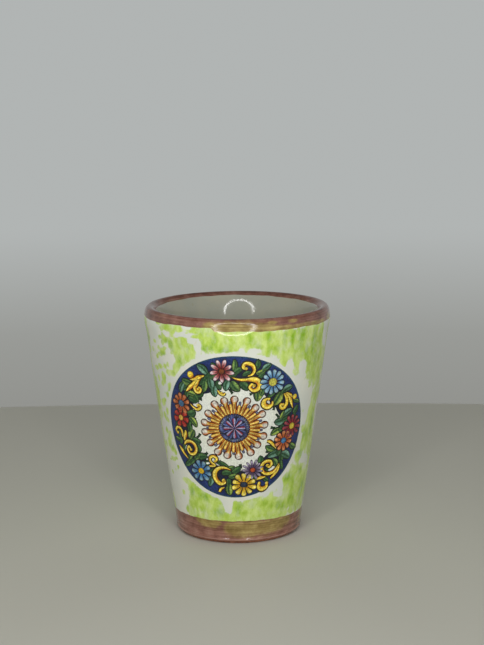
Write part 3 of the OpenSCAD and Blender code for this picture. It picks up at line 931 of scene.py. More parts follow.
def stroke(solid, points, level="scroll", side=1, fill=YELLOW, pale=YELLOW_PALE, shade=YELLOW_SHADE,
           ink=INK_BROWN):
    """A tapering brush stroke along a line, outlined, with a lit side and a shaded one."""
    path = smooth_path(points)
    centre, half = path[:, :2], np.maximum(path[:, 2], 0.03)
    run = unit(np.gradient(centre, axis=0))
    across = np.stack([-run[:, 1], run[:, 0]], 1)
    w = np.array([-1, -0.84, -0.7, -0.35, 0, 0.35, 0.7, 0.84, 1])
    for grow, top in ((OUTLINE + 0.05, SHADE[level]), (0.0, TOP[level])):
        u = centre[:, None, 0] + across[:, None, 0] * (half + grow)[:, None] * w
        v = centre[:, None, 1] + across[:, None, 1] * (half + grow)[:, None] * w
        if grow:
            lay(solid, u, v, plain(ink * 0.6, u), top)
    w = np.broadcast_to(w, u.shape) * side
    t = np.broadcast_to(np.linspace(0, 1, len(path))[:, None], u.shape)
    tint = blend(fill, shade, ease(-0.1, 0.55, w) * (0.25 + 0.75 * np.sin(5.0 * t + u) ** 2))
    shine = 0.4 + 0.5 * np.cos(7.0 * t + v) ** 2
    tint = blend(tint, pale, shine * (1 - ease(0.05, 0.45, np.abs(w + 0.35))))
    end = np.maximum(1 - ease(0, 0.05, t), ease(0.96, 1, t))
    tint = blend(tint, ink, np.maximum(ease(0.68, 0.90, np.abs(w)), end))
    lay(solid, u, v, tint, TOP[level])


def disc_grid(distances, count):
    """Places x, y of a round grid with a ring of count places at each distance, the distances as
    a column, and the angles as a row."""
    rho = np.array(distances, float)[:, None]
    phi = np.linspace(0, 2 * np.pi, count, endpoint=False)[None, :]
    return rho * np.cos(phi), rho * np.sin(phi), rho, phi


def ball(solid, u, v, radius, level="scroll", fill=YELLOW, pale=YELLOW_PALE, shade=YELLOW_SHADE,
         ink=INK_BROWN, squash=1.0):
    """A round dot with a lit spot and a dark outline."""
    x, y, rho, _ = disc_grid([0, 0.25, 0.5, 0.68, 0.8, 1], 28)
    tint = blend(fill, shade, ease(0.1, 0.8, 0.7 * x - 0.7 * y))
    tint = blend(tint, pale, 1 - ease(0.1, 0.5, np.hypot(x + 0.3, y - 0.3)))
    tint = blend(tint, ink, np.broadcast_to(ease(0.72, 0.92, rho), x.shape))
    lay(solid, u + radius * x, v + radius * squash * y, tint, TOP[level], wraps=True, pole=0)


def flower(solid, u, v, radius, petals, inner, outer, edge, ink, heart, heart_ring, heart_r,
           pointed=False, turn=0.0):
    """A daisy: one lobed patch for its petals and a round heart on it."""
    count = petals * 16
    rho = np.array([0, 0.2, 0.34, 0.42, 0.55, 0.68, 0.8, 0.9, 0.95, 1])[:, None]
    phi = np.linspace(0, 2 * np.pi, count, endpoint=False)[None, :]
    phase = (petals * phi / (2 * np.pi)) % 1
    number = np.floor(petals * phi / (2 * np.pi))
    q = np.abs(2 * phase - 1)                       # 0 along a petal's middle, 1 between petals
    lobe = np.cos(np.pi / 2 * q)
    if pointed:
        reach = 0.42 + 0.58 * lobe ** 0.9
    else:
        reach = 0.70 + 0.30 * lobe ** 0.45
    waver = 1 + 0.035 * np.sin(3 * phi + u) + 0.03 * np.sin(5 * phi + v)
    a = phi + math.radians(turn)
    r = (radius * reach * waver + OUTLINE) * rho
    lay(solid, u + r * np.cos(a), v + r * np.sin(a), plain(ink * 0.5, r), SHADE["flower"], wraps=True, pole=0)
    r = radius * reach * waver * rho
    q, rho_all, number, phase = np.broadcast_arrays(q, rho, number, phase)
    tint = blend(inner, outer, ease(0.3, 0.85, rho_all))
    tint = blend(tint, inner * 0.7, 0.7 * ease(0.35, 0.75, phase) * (0.6 + 0.4 * np.sin(2.1 * number + u)))
    tint = blend(tint, edge, 0.85 * ease(0.62, 0.9, rho_all) * (1 - ease(0.1, 0.6, q)))
    tint = blend(tint, inner * 0.45, 0.7 * (1 - ease(0.0, 0.22, q)) * (1 - ease(0.5, 0.75, rho_all)))
    tint = blend(tint, ink, ease(0.56, 0.82, q) * ease(0.3, 0.42, rho_all))
    tint = blend(tint, ink, ease(0.93, 1.0, rho_all) * 0.9)
    lay(solid, u + r * np.cos(a), v + r * np.sin(a), tint, TOP["flower"], wraps=True, pole=0)
    ball(solid, u, v, heart_r * 1.38, "flower", heart_ring, heart_ring, heart_ring * 0.5, ink)
    x, y, rho, _ = disc_grid([0, 0.3, 0.6, 0.8, 1], 24)
    dots = 0.5 + 0.5 * np.sin(6 * x * 3) * np.sin(6 * y * 3)
    tint = blend(heart, heart * 0.45, dots * 0.6 + 0.4 * ease(0.3, 1.0, 0.7 * x - 0.7 * y))
    tint = blend(tint, heart_ring * 0.6, np.broadcast_to(ease(0.75, 1.0, rho), x.shape))
    lay(solid, u + heart_r * x, v + heart_r * y, tint, TOP["heart"], wraps=True, pole=0)


# ---------------------------------------------------------------- medallion: the drawing

# Leaves: place, length, width, the angle of the tip, and a tone where it isn't dark
LEAVES = [
    (-5.6, 13.9, 2.8, 2, 200), (-6.6, 12.9, 2.8, 2, 215), (-8.2, 12, 2.6, 1.7, 240),
    (-8, 15.2, 3.5, 2.1, 143, "teal"), (-5.9, 11.6, 2.8, 1.9, 282, "teal"),
    (-4.9, 9.7, 3, 1.9, 272, "teal"), (-7.6, 10.7, 3.3, 1.7, 262, "mid"), (-3.8, 11.3, 2.4, 1.5, 290),
    (-12.7, 11.1, 2.9, 2, 172, "mid"), (-14.3, 9.3, 3.1, 1.7, 248, "teal"), (-12.9, 9.5, 2.5, 1.7, 220),
    (-10.3, 9.7, 2.2, 1.6, 250), (-11.2, 8, 3.1, 1.6, 350, "light"), (-9, 8.3, 2.5, 1.7, 20),
    (-11, 6.5, 2.6, 1.7, 340), (-9.9, 7.1, 2.2, 1.4, 300), (-12.9, 7.6, 2, 1.3, 250),
    (-11.4, 2.8, 2.7, 2.2, 20), (-10.9, 0.6, 3.2, 1.8, -48, "light"), (-12, 0.4, 2.6, 1.5, 250),
    (-12.2, -1.3, 2.4, 1.6, 280), (0.3, 16.7, 3, 1.4, 86, "mid"), (1.1, 15.2, 2.8, 1.6, 32),
    (-0.2, 14.2, 2.2, 1.5, 10), (3.3, 14.4, 2.4, 1.2, 20), (6.1, 16.6, 2.7, 1.5, 80),
    (8.4, 15.6, 2.9, 1.7, 35, "teal"), (7, 14.6, 2.9, 1.3, 20, "light"), (7, 13.5, 2.2, 1.2, 30),
    (0.3, 11.1, 3.3, 2.2, 308, "mid"), (2.6, 11.2, 2.9, 2, 312), (-1.8, 11.4, 2.9, 1.8, 256, "teal"),
    (6, 8.8, 3.7, 2.4, 268, "light"), (7.2, 9.3, 2.4, 1.6, 250), (11.3, 6.8, 4, 2.6, 234, "light"),
    (9.5, 8.2, 2.2, 1.3, 210), (14.3, 9, 3.1, 1.9, 15, "teal"), (12.9, 8.3, 2.2, 1.5, 40),
    (17.2, 4.8, 2.1, 1.1, -25, "mid"), (14.6, 5.6, 2.4, 1.4, 270), (14.4, 2.5, 3, 1.8, 24, "teal"),
    (12.7, 2.1, 2.3, 1.3, 62, "light"), (11.8, 0.6, 2.9, 2.1, 186, "teal"), (17, 2.6, 2.6, 1.6, 50),
    (13.4, 0.7, 2.4, 1.6, 200), (10.8, -2, 3.2, 1.8, 200, "light"), (12.3, -1.4, 2.2, 1.5, 240),
    (16.2, -7.4, 2.6, 1.7, -38, "mid"), (13.8, -9.2, 3.5, 2.3, -36, "teal"),
    (10.3, -8.1, 3.9, 2.1, 190, "teal"), (9.2, -6.3, 3, 1.6, 150, "mid"), (11.6, -7.9, 2.2, 1.6, 250),
    (10.5, -10.5, 2.8, 1.7, 298, "mid"), (12.3, -11.4, 3.1, 1.5, 282), (12.2, -9.9, 2.4, 1.5, 260),
    (6.6, -9.1, 2.3, 1.6, 90), (8.3, -12, 1.6, 1.1, 200), (-1.5, -16.9, 3.1, 2, 272, "light"),
    (-2.1, -12.3, 2.6, 1.6, 5), (-0.5, -13.1, 2.4, 1.4, 18, "mid"), (-1.6, -14.8, 2.1, 1.6, 92),
    (0.4, -11.4, 2.6, 1.6, 40), (-6.4, -14.8, 3.4, 1.6, 262, "teal"), (-5.9, -12.3, 2.2, 1.4, 240),
    (-3.2, -10, 4, 1.1, -24), (-1, -10.9, 2, 1.3, 20, "mid"), (-8.6, -8.6, 3, 1.9, 18),
    (-10.1, -8.9, 2.6, 1.6, 240, "mid"), (-7.3, -10, 2, 1.3, 200), (-12.3, -9.5, 2.8, 1.4, 240, "mid"),
    (-13, -11.3, 2.8, 1.5, 226), (-11.7, -10.6, 2.2, 1.4, 230), (-11.5, -3, 3, 2.2, 66, "light"),
    (-10.2, -4.5, 2.8, 1.8, -10), (-9.6, -6.4, 2.4, 1.5, 290), (-16.2, -5.5, 2.4, 1.1, -8, "mid"),
    (-15.4, -5.6, 2.2, 1.4, 280), (-15.6, -3.7, 2, 1.4, 270), (-14.2, -7.3, 2, 1.2, 280),
    (4.4, -13.6, 2, 1.3, 330), (-16.4, -1.2, 2, 1.2, 250), (7.9, -14.6, 2, 1.2, 320),
    (16.4, 0.9, 2, 1.3, 60), (-5, 16.4, 1.8, 1.1, 130),
]

# Scrolls: the side that is shaded, then the line's places, each with its half width
SCROLLS = [
    (-1, (3.3, 15.6, 0.3), (2.5, 16, 0.46), (2.8, 16.9, 0.52), (3.9, 17, 0.54), (4.8, 16.4, 0.52),
     (5.2, 15.2, 0.44), (4.6, 14.1, 0.3), (3.4, 13.7, 0.1)),
    (-1, (-0.6, 13.6, 0.06), (1.2, 12.9, 0.3), (3.2, 12.8, 0.42), (4.9, 12.8, 0.74), (6.1, 12.2, 0.82),
     (6.5, 11.1, 0.7), (5.9, 10.1, 0.58), (4.8, 9.9, 0.48), (4, 10.7, 0.4), (4.5, 11.5, 0.34),
     (5.2, 11.1, 0.22)),
    (1, (8.9, 7.3, 0.22), (7.8, 7, 0.5), (7.5, 5.9, 0.74), (8.4, 5.1, 0.74), (9.6, 5.4, 0.5),
     (9.9, 6.5, 0.22)),
    (1, (13, 8, 0.08), (13.9, 6.7, 0.46), (14, 5.1, 0.5), (13.2, 4, 0.5), (12.2, 4.2, 0.42),
     (12.2, 5.1, 0.34), (13, 5, 0.24)),
    (1, (13.5, 7.9, 0.08), (14.8, 6.7, 0.46), (15.4, 5, 0.46), (16, 3.2, 0.08)),
    (1, (13.8, 8, 0.08), (15.1, 7.2, 0.34), (15.9, 6.2, 0.12)),
    (1, (8.3, -4.2, 0.26), (9.2, -4.5, 0.42), (10.2, -5.7, 0.36), (10.9, -6.7, 0.08)),
    (1, (8.3, -10.8, 0.22), (8.8, -11.4, 0.34), (9.5, -10.8, 0.42), (9.2, -9.9, 0.46), (8, -9.7, 0.46),
     (7, -10.5, 0.48), (6.9, -11.9, 0.5), (7.8, -13, 0.5), (9.3, -13.2, 0.48), (10.8, -12.4, 0.38),
     (11.9, -10.8, 0.08)),
    (1, (9.2, -14.7, 0.16), (10.2, -13.8, 0.44), (11.2, -12.9, 0.4), (12, -11.4, 0.08)),
    (1, (5.2, -14.4, 0.14), (6.4, -14, 0.5), (7.9, -13.9, 0.08)),
    (1, (6.3, -15, 0.26), (6, -16.3, 0.56), (6.8, -17.2, 0.72), (8, -16.7, 0.54), (8.3, -15.6, 0.26)),
    (1, (-0.9, -11.5, 0.06), (-2.6, -10.9, 0.36), (-4.2, -11.2, 0.5), (-5.2, -12.5, 0.64),
     (-5, -14.1, 0.66), (-3.9, -15.3, 0.58), (-2.7, -15, 0.42), (-2.8, -14.2, 0.3)),
    (1, (-7, -10.9, 0.1), (-6, -10.7, 0.34), (-5.2, -10.4, 0.36), (-6.2, -9.6, 0.34), (-6.4, -8.5, 0.38),
     (-5.4, -7.9, 0.4), (-4.6, -8.6, 0.36), (-5, -9.5, 0.26)),
    (1, (-2.7, -16.3, 0.1), (-3.6, -16.8, 0.36), (-4.1, -17.7, 0.3)),
    (1, (-11.9, -7.2, 0.24), (-12.6, -6.6, 0.34), (-12.9, -7.6, 0.38), (-12, -8.5, 0.42),
     (-10.8, -8.1, 0.44), (-10.3, -6.9, 0.46), (-10.8, -5.6, 0.48), (-12.1, -5.1, 0.48),
     (-13.4, -5.5, 0.44), (-14.2, -6.6, 0.1)),
    (1, (-16.1, -7.2, 0.14), (-15.2, -8, 0.46), (-14.2, -9.1, 0.38), (-12.9, -10.1, 0.08)),
    (-1, (-16.4, -3.8, 0.24), (-17, -3.1, 0.34), (-16.4, -2.3, 0.4), (-15.3, -2.3, 0.4),
     (-14.7, -3.3, 0.4), (-14.5, -4.6, 0.1)),
    (1, (-13.5, -2.3, 0.2), (-13.5, -3.4, 0.58), (-13.9, -4.6, 0.42), (-14.1, -5.3, 0.1)),
    (1, (-11.8, 5.4, 0.06), (-10.6, 4.5, 0.28), (-9.5, 4.2, 0.4), (-8.8, 5, 0.42), (-9.5, 5.7, 0.3)),
    (1, (-11.6, 11.9, 0.08), (-10.4, 12.2, 0.4), (-9, 12.9, 0.56), (-7.5, 13.5, 0.08)),
    (1, (-8.3, 13.2, 0.16), (-9.4, 12, 0.62), (-10.7, 10.7, 0.6), (-11.8, 9.6, 0.56), (-12.9, 8.4, 0.1)),
    (1, (-8.9, 12.4, 0.14), (-9.6, 11.1, 0.5), (-10.2, 9.9, 0.5), (-9.8, 9, 0.5), (-8.9, 9, 0.46),
     (-8.6, 9.9, 0.36), (-9.3, 10.2, 0.24)),
    (1, (-4.1, 10, 0.1), (-3.4, 9.2, 0.38), (-2.6, 8.9, 0.34), (-2.1, 9.4, 0.12)),
]

# Round ends and buds on the scrolls: place and radius
BALLS = [
    (3.2, 15.7, 0.42), (5.1, 11.1, 0.44), (8.9, 7.1, 0.42), (12.9, 4.9, 0.42), (16.6, 6.2, 0.78),
    (8.4, -10.9, 0.46), (8.2, -15.8, 0.48), (-2.9, -14.4, 0.52), (-5.1, -9.3, 0.36), (-11.9, -7.3, 0.44),
    (-16.4, -3.7, 0.46), (-9.4, 5.3, 0.46), (-11.4, 13.2, 1), (-9.3, 9.7, 0.42), (-3.1, 9.3, 0.36),
]

# Fine dark sprigs that reach into the pale field: where each starts and ends
SPRIGS = [
    (-1.2, 10.5, -0.3, 9.2), (4.6, 9.3, 3.9, 8.9), (10.2, 5, 10.1, 3.9), (10.8, 2.8, 11.6, 1.7),
    (10.6, -0.9, 9.3, -0.6), (-10, -3.6, -9, -2.3), (-9.4, 7.3, -8.2, 7), (1.5, -11, 1.3, -9.8),
    (-8.2, -7.8, -7, -7.2), (-10.6, 1.6, -10, 1.4), (8.8, -7.3, 8, -6.9), (-3.8, -9.6, -3.9, -8.9),
]

# Patches of pale paper seen between the motifs: place, radii and turn
WINDOWS = [
    (9.6, -12, 1, 0.42, 25), (-13.3, -6.9, 0.32, 0.7, -35), (4.6, 10.8, 0.5, 0.5, 0),
    (-7, -10.1, 0.7, 0.25, 10), (8.6, 6.3, 0.5, 0.4, 0), (-3.3, 12, 0.6, 0.4, 30),
]


def build_ground():
    """The cobalt ground, darker inwards, and the pale field that fills its uneven opening."""
    phi = np.linspace(0, 2 * np.pi, 360, endpoint=False)
    waver = 0.30 * np.sin(5 * phi + 1) + 0.22 * np.sin(8 * phi) + 0.12 * np.sin(17 * phi)
    inner = (FIELD_R + waver)[None, :]
    part = np.linspace(0, 1, 60)[:, None]
    r = inner * (1 - part) + MEDALLION_R * part
    u, v = r * np.cos(phi), r * np.sin(phi)
    cloud = 0.5 + 0.25 * np.sin(0.9 * u + 1.3 * np.sin(0.7 * v)) + 0.25 * np.sin(1.1 * v + np.sin(0.8 * u))
    tint = blend(COBALT, COBALT_LIGHT, 0.7 * cloud)
    tint = blend(tint, COBALT_DARK, 0.85 * (1 - ease(15.4, 17.4, r + 0.5 * cloud)))
    tint = blend(tint, TEAL_EDGE, 0.8 * ease(MEDALLION_R - 0.5, MEDALLION_R - 0.05, r))
    solid = Solid()
    lay(solid, u, v, tint, TOP["ground"], wraps=True)
    solid.build("medallion_blue_ground", ink_material("cobalt_ink", 0.5), ["medallion_ground"])
    rho = np.linspace(0, 1, 40)[:, None]
    r = rho * inner
    u, v = r * np.cos(phi), r * np.sin(phi)
    warm = 0.5 + 0.5 * np.sin(0.5 * u + 0.4 * v)
    tint = blend(CREAM, CREAM * np.array([0.97, 0.965, 0.90]), warm)
    solid = Solid()
    lay(solid, u, v, tint, TOP["ground"], wraps=True, pole=0)
    solid.build("medallion_pale_field", ink_material("cream_ink", 0.15), ["medallion_field"])


def build_leaves():
    """Leaves and sprigs, and the pale patches that show between the motifs."""
    solid = Solid()
    for k, (u, v, length, width, angle, *tone) in enumerate(LEAVES):
        leaf(solid, u, v, length, width, angle, tone[0] if tone else "dark", 0.14 if k % 2 else -0.14)
    for u0, v0, u1, v1 in SPRIGS:
        middle = ((u0 + u1) / 2 + 0.1, (v0 + v1) / 2 - 0.1, 0.10)
        stroke(solid, [(u0, v0, 0.10), middle, (u1, v1, 0.20)], "leaf", 1,
               LEAF_DARK, LEAF_DARK, INK_GREEN, INK_GREEN)
    x, y, _, _ = disc_grid([0, 0.3, 0.6, 0.85, 1], 28)
    for u, v, across, up, turn in WINDOWS:
        patch = turned(across * x, up * y, turn, u, v)
        lay(solid, *patch, plain(CREAM, x), TOP["leaf"] + 0.002, wraps=True, pole=0)
    solid.build("medallion_leaf_print", ink_material("leaf_ink", 0.6), ["medallion_leaves"])


def build_scrolls():
    """Yellow scrolls and their round ends."""
    solid = Solid()
    for side, *points in SCROLLS:
        stroke(solid, points, side=side)
    for u, v, radius in BALLS:
        ball(solid, u, v, radius)
    ink = ink_material("yellow_ink", 0.5)
    solid.build("medallion_scroll_print", ink, ["medallion_scrolls"])


def build_flowers():
    """The wreath's nine flowers, clockwise from the top: place, size, petals and colours."""
    blue, blue_pale = srgb(56, 112, 164), srgb(138, 180, 206)
    red, orange = srgb(150, 26, 26), srgb(176, 84, 36)
    solid = Solid()
    flower(solid, -3.0, 15.0, 3.1, 9, srgb(118, 22, 22), srgb(190, 120, 122), srgb(236, 226, 230), INK_RED,
           srgb(128, 64, 24), INK_RED, 0.72, pointed=True, turn=12)
    flower(solid, 10.0, 11.5, 3.3, 12, blue, blue_pale, srgb(170, 196, 190), INK_BLUE, srgb(206, 200, 84),
           srgb(84, 22, 18), 1.15, turn=5)
    flower(solid, 13.1, -5.0, 2.75, 10, orange, srgb(196, 112, 62), srgb(224, 160, 110), srgb(52, 12, 6),
           srgb(70, 128, 176), srgb(12, 20, 50), 0.82)
    flower(solid, 15.7, -1.6, 3.0, 11, srgb(150, 30, 34), srgb(96, 44, 70), srgb(178, 80, 76),
           srgb(20, 10, 20), srgb(220, 196, 60), srgb(84, 30, 14), 0.90)
    flower(solid, 4.5, -11.6, 2.7, 13, srgb(70, 50, 84), srgb(134, 120, 146), srgb(178, 170, 190),
           srgb(22, 16, 34), srgb(176, 74, 36), srgb(70, 14, 10), 0.66, pointed=True)
    flower(solid, 2.2, -15.5, 3.15, 10, srgb(206, 150, 26), srgb(226, 200, 56), YELLOW_PALE, INK_BROWN,
           srgb(44, 58, 80), srgb(10, 14, 24), 0.80)
    flower(solid, -9.0, -12.6, 2.9, 9, blue, srgb(88, 132, 168), srgb(150, 178, 182), INK_BLUE,
           srgb(228, 186, 36), srgb(60, 40, 20), 0.86, turn=10)
    flower(solid, -14.6, 4.8, 2.8, 9, orange, srgb(176, 100, 58), srgb(200, 134, 92), srgb(44, 14, 8),
           srgb(70, 108, 142), srgb(10, 16, 34), 0.95)
    flower(solid, -14.9, 0.8, 2.6, 7, red, srgb(170, 44, 36), srgb(190, 76, 60), INK_RED, srgb(226, 180, 72),
           srgb(80, 18, 10), 0.78, turn=20)
    ink = ink_material("flower_ink", 0.5)
    solid.build("medallion_flower_print", ink, ["medallion_flowers"])


def ray(solid, angle, start, end, half_start, half_end, top, paint, bulb=0.0):
    """One petal of the sunburst, pointing out from the centre, coloured by paint(t, w). Its end is
    round, or swells into a round bulb of the given radius."""
    round_r = max(bulb, half_end)
    x = np.concatenate([np.linspace(start, end - 1.9 * round_r, 9),
                        end - round_r - round_r * np.cos(np.linspace(0.55, 3.10, 13))])[:, None]
    w = np.array([-1, -0.82, -0.7, -0.5, -0.38, 0, 0.38, 0.5, 0.7, 0.82, 1])[None, :]
    x, w = np.broadcast_arrays(x, w)
    cap = np.sqrt(np.clip(round_r ** 2 - (x - end + round_r) ** 2, 0.0003, None))
    shaft = half_start + (half_end - half_start) * ease(start, end - round_r, x)
    half = np.where(x > end - round_r, cap, np.maximum(shaft, cap) if bulb else shaft)
    lay(solid, *turned(x, w * half, angle, 0, 0), paint((x - start) / (end - start), w), top)


def build_rosette():
    """The sunburst: shadows at the back, long petals, short ones over them, and drops in front."""
    outline, amber = srgb(60, 22, 2), srgb(172, 86, 14)
    gold, straw = srgb(198, 142, 40), srgb(240, 214, 112)
    shell, blush = srgb(208, 206, 194), srgb(186, 104, 48)

    def long_petal(t, w):
        tint = blend(gold, straw, 1 - ease(0.1, 0.5, np.abs(w - 0.1)))
        tint = blend(tint, blend(shell, blush, ease(0.1, 0.6, w)), ease(0.60, 0.72, t))
        tint = blend(tint, amber, ease(0.30, 0.5, np.abs(w)) * (1 - 0.85 * ease(0.6, 0.75, t)))
        crease = ease(0.2, 0.3, t) * (1 - ease(0.5, 0.6, t)) * (1 - ease(0.0, 0.14, np.abs(w)))
        tint = blend(tint, outline, 0.8 * crease)
        return blend(tint, outline, np.maximum(ease(0.62, 0.76, np.abs(w)), ease(0.915, 0.955, t)))

    def short_petal(t, w):
        tint = blend(gold, straw, 1 - ease(0.1, 0.6, np.abs(w)))
        tint = blend(tint, amber, ease(0.1, 0.5, w))
        return blend(tint, outline, np.maximum(ease(0.55, 0.78, np.abs(w)), ease(0.92, 0.985, t)))

    def drop(t, w):
        tint = blend(amber, gold, 1 - ease(0.1, 0.5, np.abs(w)))
        return blend(tint, outline, np.maximum(ease(0.42, 0.7, np.abs(w)), ease(0.86, 0.97, t)))

    def shadow(t, w):
        return blend(srgb(96, 100, 128), srgb(34, 22, 28), ease(0.35, 0.8, np.abs(w)))

    solid = Solid()
    for k in range(RAYS):
        angle = 360 * (k + 0.5) / RAYS + RAY_TURN
        ray(solid, angle, 5.4, 7.3, 0.34, 0.36, SHADE["leaf"], shadow)
    for k in range(RAYS):
        angle = 360 * k / RAYS + RAY_TURN + 1.5 * math.sin(1.9 * k)
        reach = 8.75 + 0.2 * math.sin(2.4 * k)
        ray(solid, angle, 3.8, reach, 0.56, 0.72, TOP["leaf"], long_petal, bulb=1.08)
    for k in range(RAYS):
        angle = 360 * (k + 0.5) / RAYS + RAY_TURN
        ray(solid, angle, 3.8, 6.5 + 0.2 * math.sin(1.7 * k), 0.44, 0.60, TOP["scroll"], short_petal)
    for k in range(2 * RAYS):
        ray(solid, 180 * (k + 0.5) / RAYS + RAY_TURN, 3.8, 5.0, 0.18, 0.22, TOP["flower"], drop)
    solid.build("medallion_sunburst_print", ink_material("gold_ink", 0.5), ["medallion_rosette"])


def build_disc():
    """The blue disc in the middle, with a beaded ring and an eight-petalled star."""
    rings = [0, 0.1, 0.2, 0.3, 0.4, 0.5, 0.6, 0.68, 0.74, 0.79, 0.83, 0.87, 0.91, 0.95, 1]
    x, y, rho, phi = disc_grid(rings, 160)
    blue, deep, grey = srgb(70, 80, 138), srgb(14, 16, 40), srgb(120, 132, 150)
    tint = blend(deep, blue, (0.5 + 0.5 * np.sin(8 * phi + 9 * rho)) * (0.6 + 0.4 * np.sin(13 * x + 5 * y)))
    ring = ease(0.74, 0.79, rho) * (1 - ease(0.87, 0.91, rho)) * (0.15 + 0.7 * (np.sin(40 * phi) > 0))
    tint = blend(tint, grey, ring * (0.6 + 0.4 * np.sin(3 * phi)))
    tint = blend(tint, INK_BLUE, ease(0.9, 0.97, rho) * np.ones_like(phi))
    solid = Solid()
    lay(solid, DISC_R * x, DISC_R * y, tint, TOP["flower"], wraps=True, pole=0)

    def star_petal(t, w):
        tint = blend(srgb(162, 164, 196), srgb(136, 30, 46), ease(-0.2, 0.2, w))
        return blend(tint, INK_BLUE, np.maximum(ease(0.6, 0.85, np.abs(w)), ease(0.92, 1, t)))

    def curl(t, w):
        return blend(srgb(92, 104, 160), INK_BLUE, ease(0.3, 0.8, np.abs(w)))

    for k in range(8):
        ray(solid, 45 * k + 2, 0.3, 2.75, 0.10, 0.50, TOP["heart"], star_petal)
        ray(solid, 45 * k + 24.5, 1.5, 3.0, 0.10, 0.26, TOP["heart"], curl)
    solid.build("medallion_disc_print", ink_material("disc_ink", 0.6), ["medallion_disc"])


build_ground()
build_leaves()
build_scrolls()
build_flowers()
build_rosette()
build_disc()

# ---------------------------------------------------------------- floor, light and camera

VIEW_TURN = math.radians(2.3)   # the camera stands this far round from straight in front
CAMERA_PLACE = Matrix.Rotation(VIEW_TURN, 3, "Z") @ Vector((1.26, -373.6, 121.5)) * MM
CAMERA_PITCH = math.radians(10.09)
CAMERA_ROLL = math.radians(-0.39)
SENSOR = 36.0                   # width of the sensor and focal length, in millimetres
LENS = 80.93
TABLE_CENTRE = np.array([0.0, -0.033, 0.0])      # metres, in line with the camera
TABLE_SIZE = (0.45, 0.185)                      # half widths across and towards the camera
TABLE_EDGE = 0.012                              # radius of its rounded edge
TABLE_PAINT = srgb(212, 210, 197)
# Light from the surroundings by elevation in degrees
SKY = [
    (-14.0, (0.280, 0.282, 0.264)), (-10.5, (0.318, 0.325, 0.308)), (-6.5, (0.440, 0.460, 0.455)),
    (15.0, (0.440, 0.460, 0.455)), (34.0, (0.108, 0.111, 0.108)), (90.0, (0.108, 0.111, 0.108)),
]
RING_RADIUS = 0.160                             # a ring lamp stands round the camera
RING_COUNT = 32
RING_LAMP = (0.031, 0.022)
RING_SHIFT = (-0.025, -0.006)                   # metres across and up from the camera
RING_POWER = 0.0335                             # watts, each of its lamps
LIGHT_AIM = (0, 0, 0.032)
# Soft lamps: place, aim, size and power
FILLS = [
    ("left_fill", (-0.7, 1.1, 0.22), LIGHT_AIM, (0.6, 0.5), 2.4),
    ("right_fill", (0.7, 1.1, 0.22), LIGHT_AIM, (0.6, 0.5), 2.4),
    ("front_fill", (0, -0.30, 0.36), (0, -0.14, 0), (0.34, 0.16), 0.45),
]


def build_stage():
    """An oval table top with a rounded edge, closer behind the cup than in front of it."""
    turn = np.linspace(0, np.pi / 2, 9)
    inset = TABLE_EDGE * (1 - np.sin(turn)) / TABLE_SIZE[1]
    drop = TABLE_EDGE * (1 - np.cos(turn))
    shares = np.concatenate([np.linspace(0.04, 0.92, 18), 1 - inset, 1 - inset[::-1]])
    drops = np.concatenate([np.zeros(18), drop, 2 * TABLE_EDGE - drop[::-1]])
    phi = np.linspace(0, 2 * np.pi, 192, endpoint=False)
    rings = [np.stack([TABLE_SIZE[0] * share * np.cos(phi), TABLE_SIZE[1] * share * np.sin(phi),
                       np.full(len(phi), -down)], 1) + TABLE_CENTRE for share, down in zip(shares, drops)]
    count = len(phi)
    points = np.concatenate(rings) @ np.array(Matrix.Rotation(VIEW_TURN, 3, "Z")).T
    faces = [tuple(range(count)), tuple((len(rings) - 1) * count + k for k in reversed(range(count)))]
    for row in range(len(rings) - 1):
        for k in range(count):
            here, right = row * count + k, row * count + (k + 1) % count
            faces.append((here, here + count, right + count, right))
    mesh = bpy.data.meshes.new("table_top")
    mesh.from_pydata(points.tolist(), [], faces)
    mesh.shade_smooth()
    n = Nodes("table_paint", 0.6)
    n.shader.inputs["Specular IOR Level"].default_value = 0.2
    n.colour(n.mix(n.noise(6, 2), TABLE_PAINT * 0.985, TABLE_PAINT * 1.015))
    mesh.materials.append(n.material)
    linked("table_top", mesh)


def area_light(name, place, aim, size, power):
    """A rectangular lamp that the camera doesn't see."""
    data = bpy.data.lights.new(name, "AREA")
    data.shape = "RECTANGLE"
    data.size, data.size_y = size
    data.energy = power
    light = linked(name, data)
    light.location = place
    light.rotation_mode = "QUATERNION"
    light.rotation_quaternion = (Vector(aim) - Vector(place)).to_track_quat("-Z", "Y")
    light.visible_camera = False
    return light


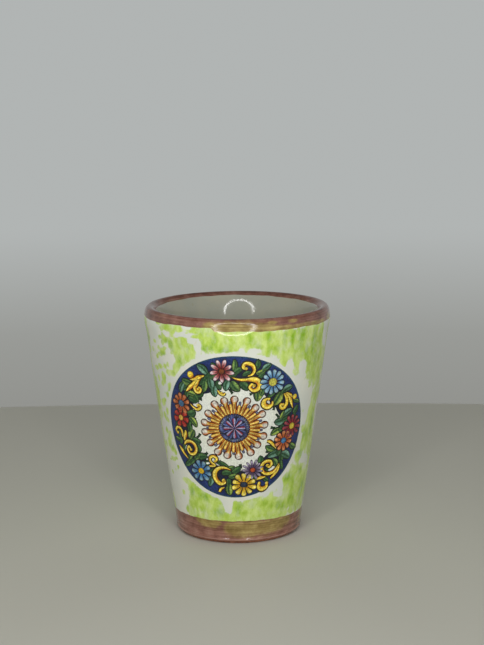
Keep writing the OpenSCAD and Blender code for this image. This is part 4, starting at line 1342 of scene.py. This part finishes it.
def build_camera():
    """The camera at the photograph's viewing angle."""
    forward = Vector((0, math.cos(CAMERA_PITCH), -math.sin(CAMERA_PITCH)))
    right = Vector((1, 0, 0))
    up = right.cross(forward)
    tilted = right * math.cos(CAMERA_ROLL) + up * math.sin(CAMERA_ROLL)
    up = -right * math.sin(CAMERA_ROLL) + up * math.cos(CAMERA_ROLL)
    axes = Matrix((tilted, up, -forward)).transposed()
    data = bpy.data.cameras.new("camera")
    data.sensor_width = SENSOR
    data.lens = LENS
    data.clip_start, data.clip_end = 0.01, 20
    camera = linked("camera", data)
    turn = Matrix.Rotation(VIEW_TURN, 3, "Z") @ axes
    camera.matrix_world = Matrix.Translation(CAMERA_PLACE) @ turn.to_4x4()
    bpy.context.scene.camera = camera


def build_world():
    """Even soft light from all round, darker overhead and below the level of the table."""
    world = bpy.data.worlds.new("studio")
    world.use_nodes = True
    tree = world.node_tree
    where = tree.nodes.new("ShaderNodeTexCoord")
    split = tree.nodes.new("ShaderNodeSeparateXYZ")
    height = tree.nodes.new("ShaderNodeMapRange")
    ramp = tree.nodes.new("ShaderNodeValToRGB")
    tree.links.new(where.outputs["Generated"], split.inputs["Vector"])
    tree.links.new(split.outputs["Z"], height.inputs["Value"])
    height.inputs["From Min"].default_value = -1.0
    tree.links.new(height.outputs["Result"], ramp.inputs["Fac"])
    set_stops(ramp, [((math.sin(math.radians(angle)) + 1) / 2, colour) for angle, colour in SKY])
    tree.links.new(ramp.outputs["Color"], tree.nodes["Background"].inputs["Color"])
    bpy.context.scene.world = world


def build_lights():
    """A ring lamp round the camera, and soft lamps that leave no highlights."""
    turn = Matrix.Rotation(VIEW_TURN, 3, "Z")
    middle = turn @ Vector((RING_SHIFT[0], 0, RING_SHIFT[1])) + CAMERA_PLACE
    for k in range(RING_COUNT):
        a = 2 * math.pi * k / RING_COUNT
        place = middle + turn @ Vector((RING_RADIUS * math.cos(a), 0, RING_RADIUS * math.sin(a)))
        light = area_light(f"ring_{k:02d}", place, LIGHT_AIM, RING_LAMP, RING_POWER)
        across = turn @ Vector((-math.sin(a), 0, math.cos(a)))
        ahead = turn @ Vector((0, 1, 0))
        light.rotation_quaternion = Matrix((across, across.cross(ahead), -ahead)).transposed().to_quaternion()
    for name, place, aim, size, power in FILLS:
        area_light(name, place, aim, size, power).visible_glossy = False


build_stage()
build_camera()
build_world()
build_lights()
bpy.context.scene.view_settings.view_transform = "Standard"
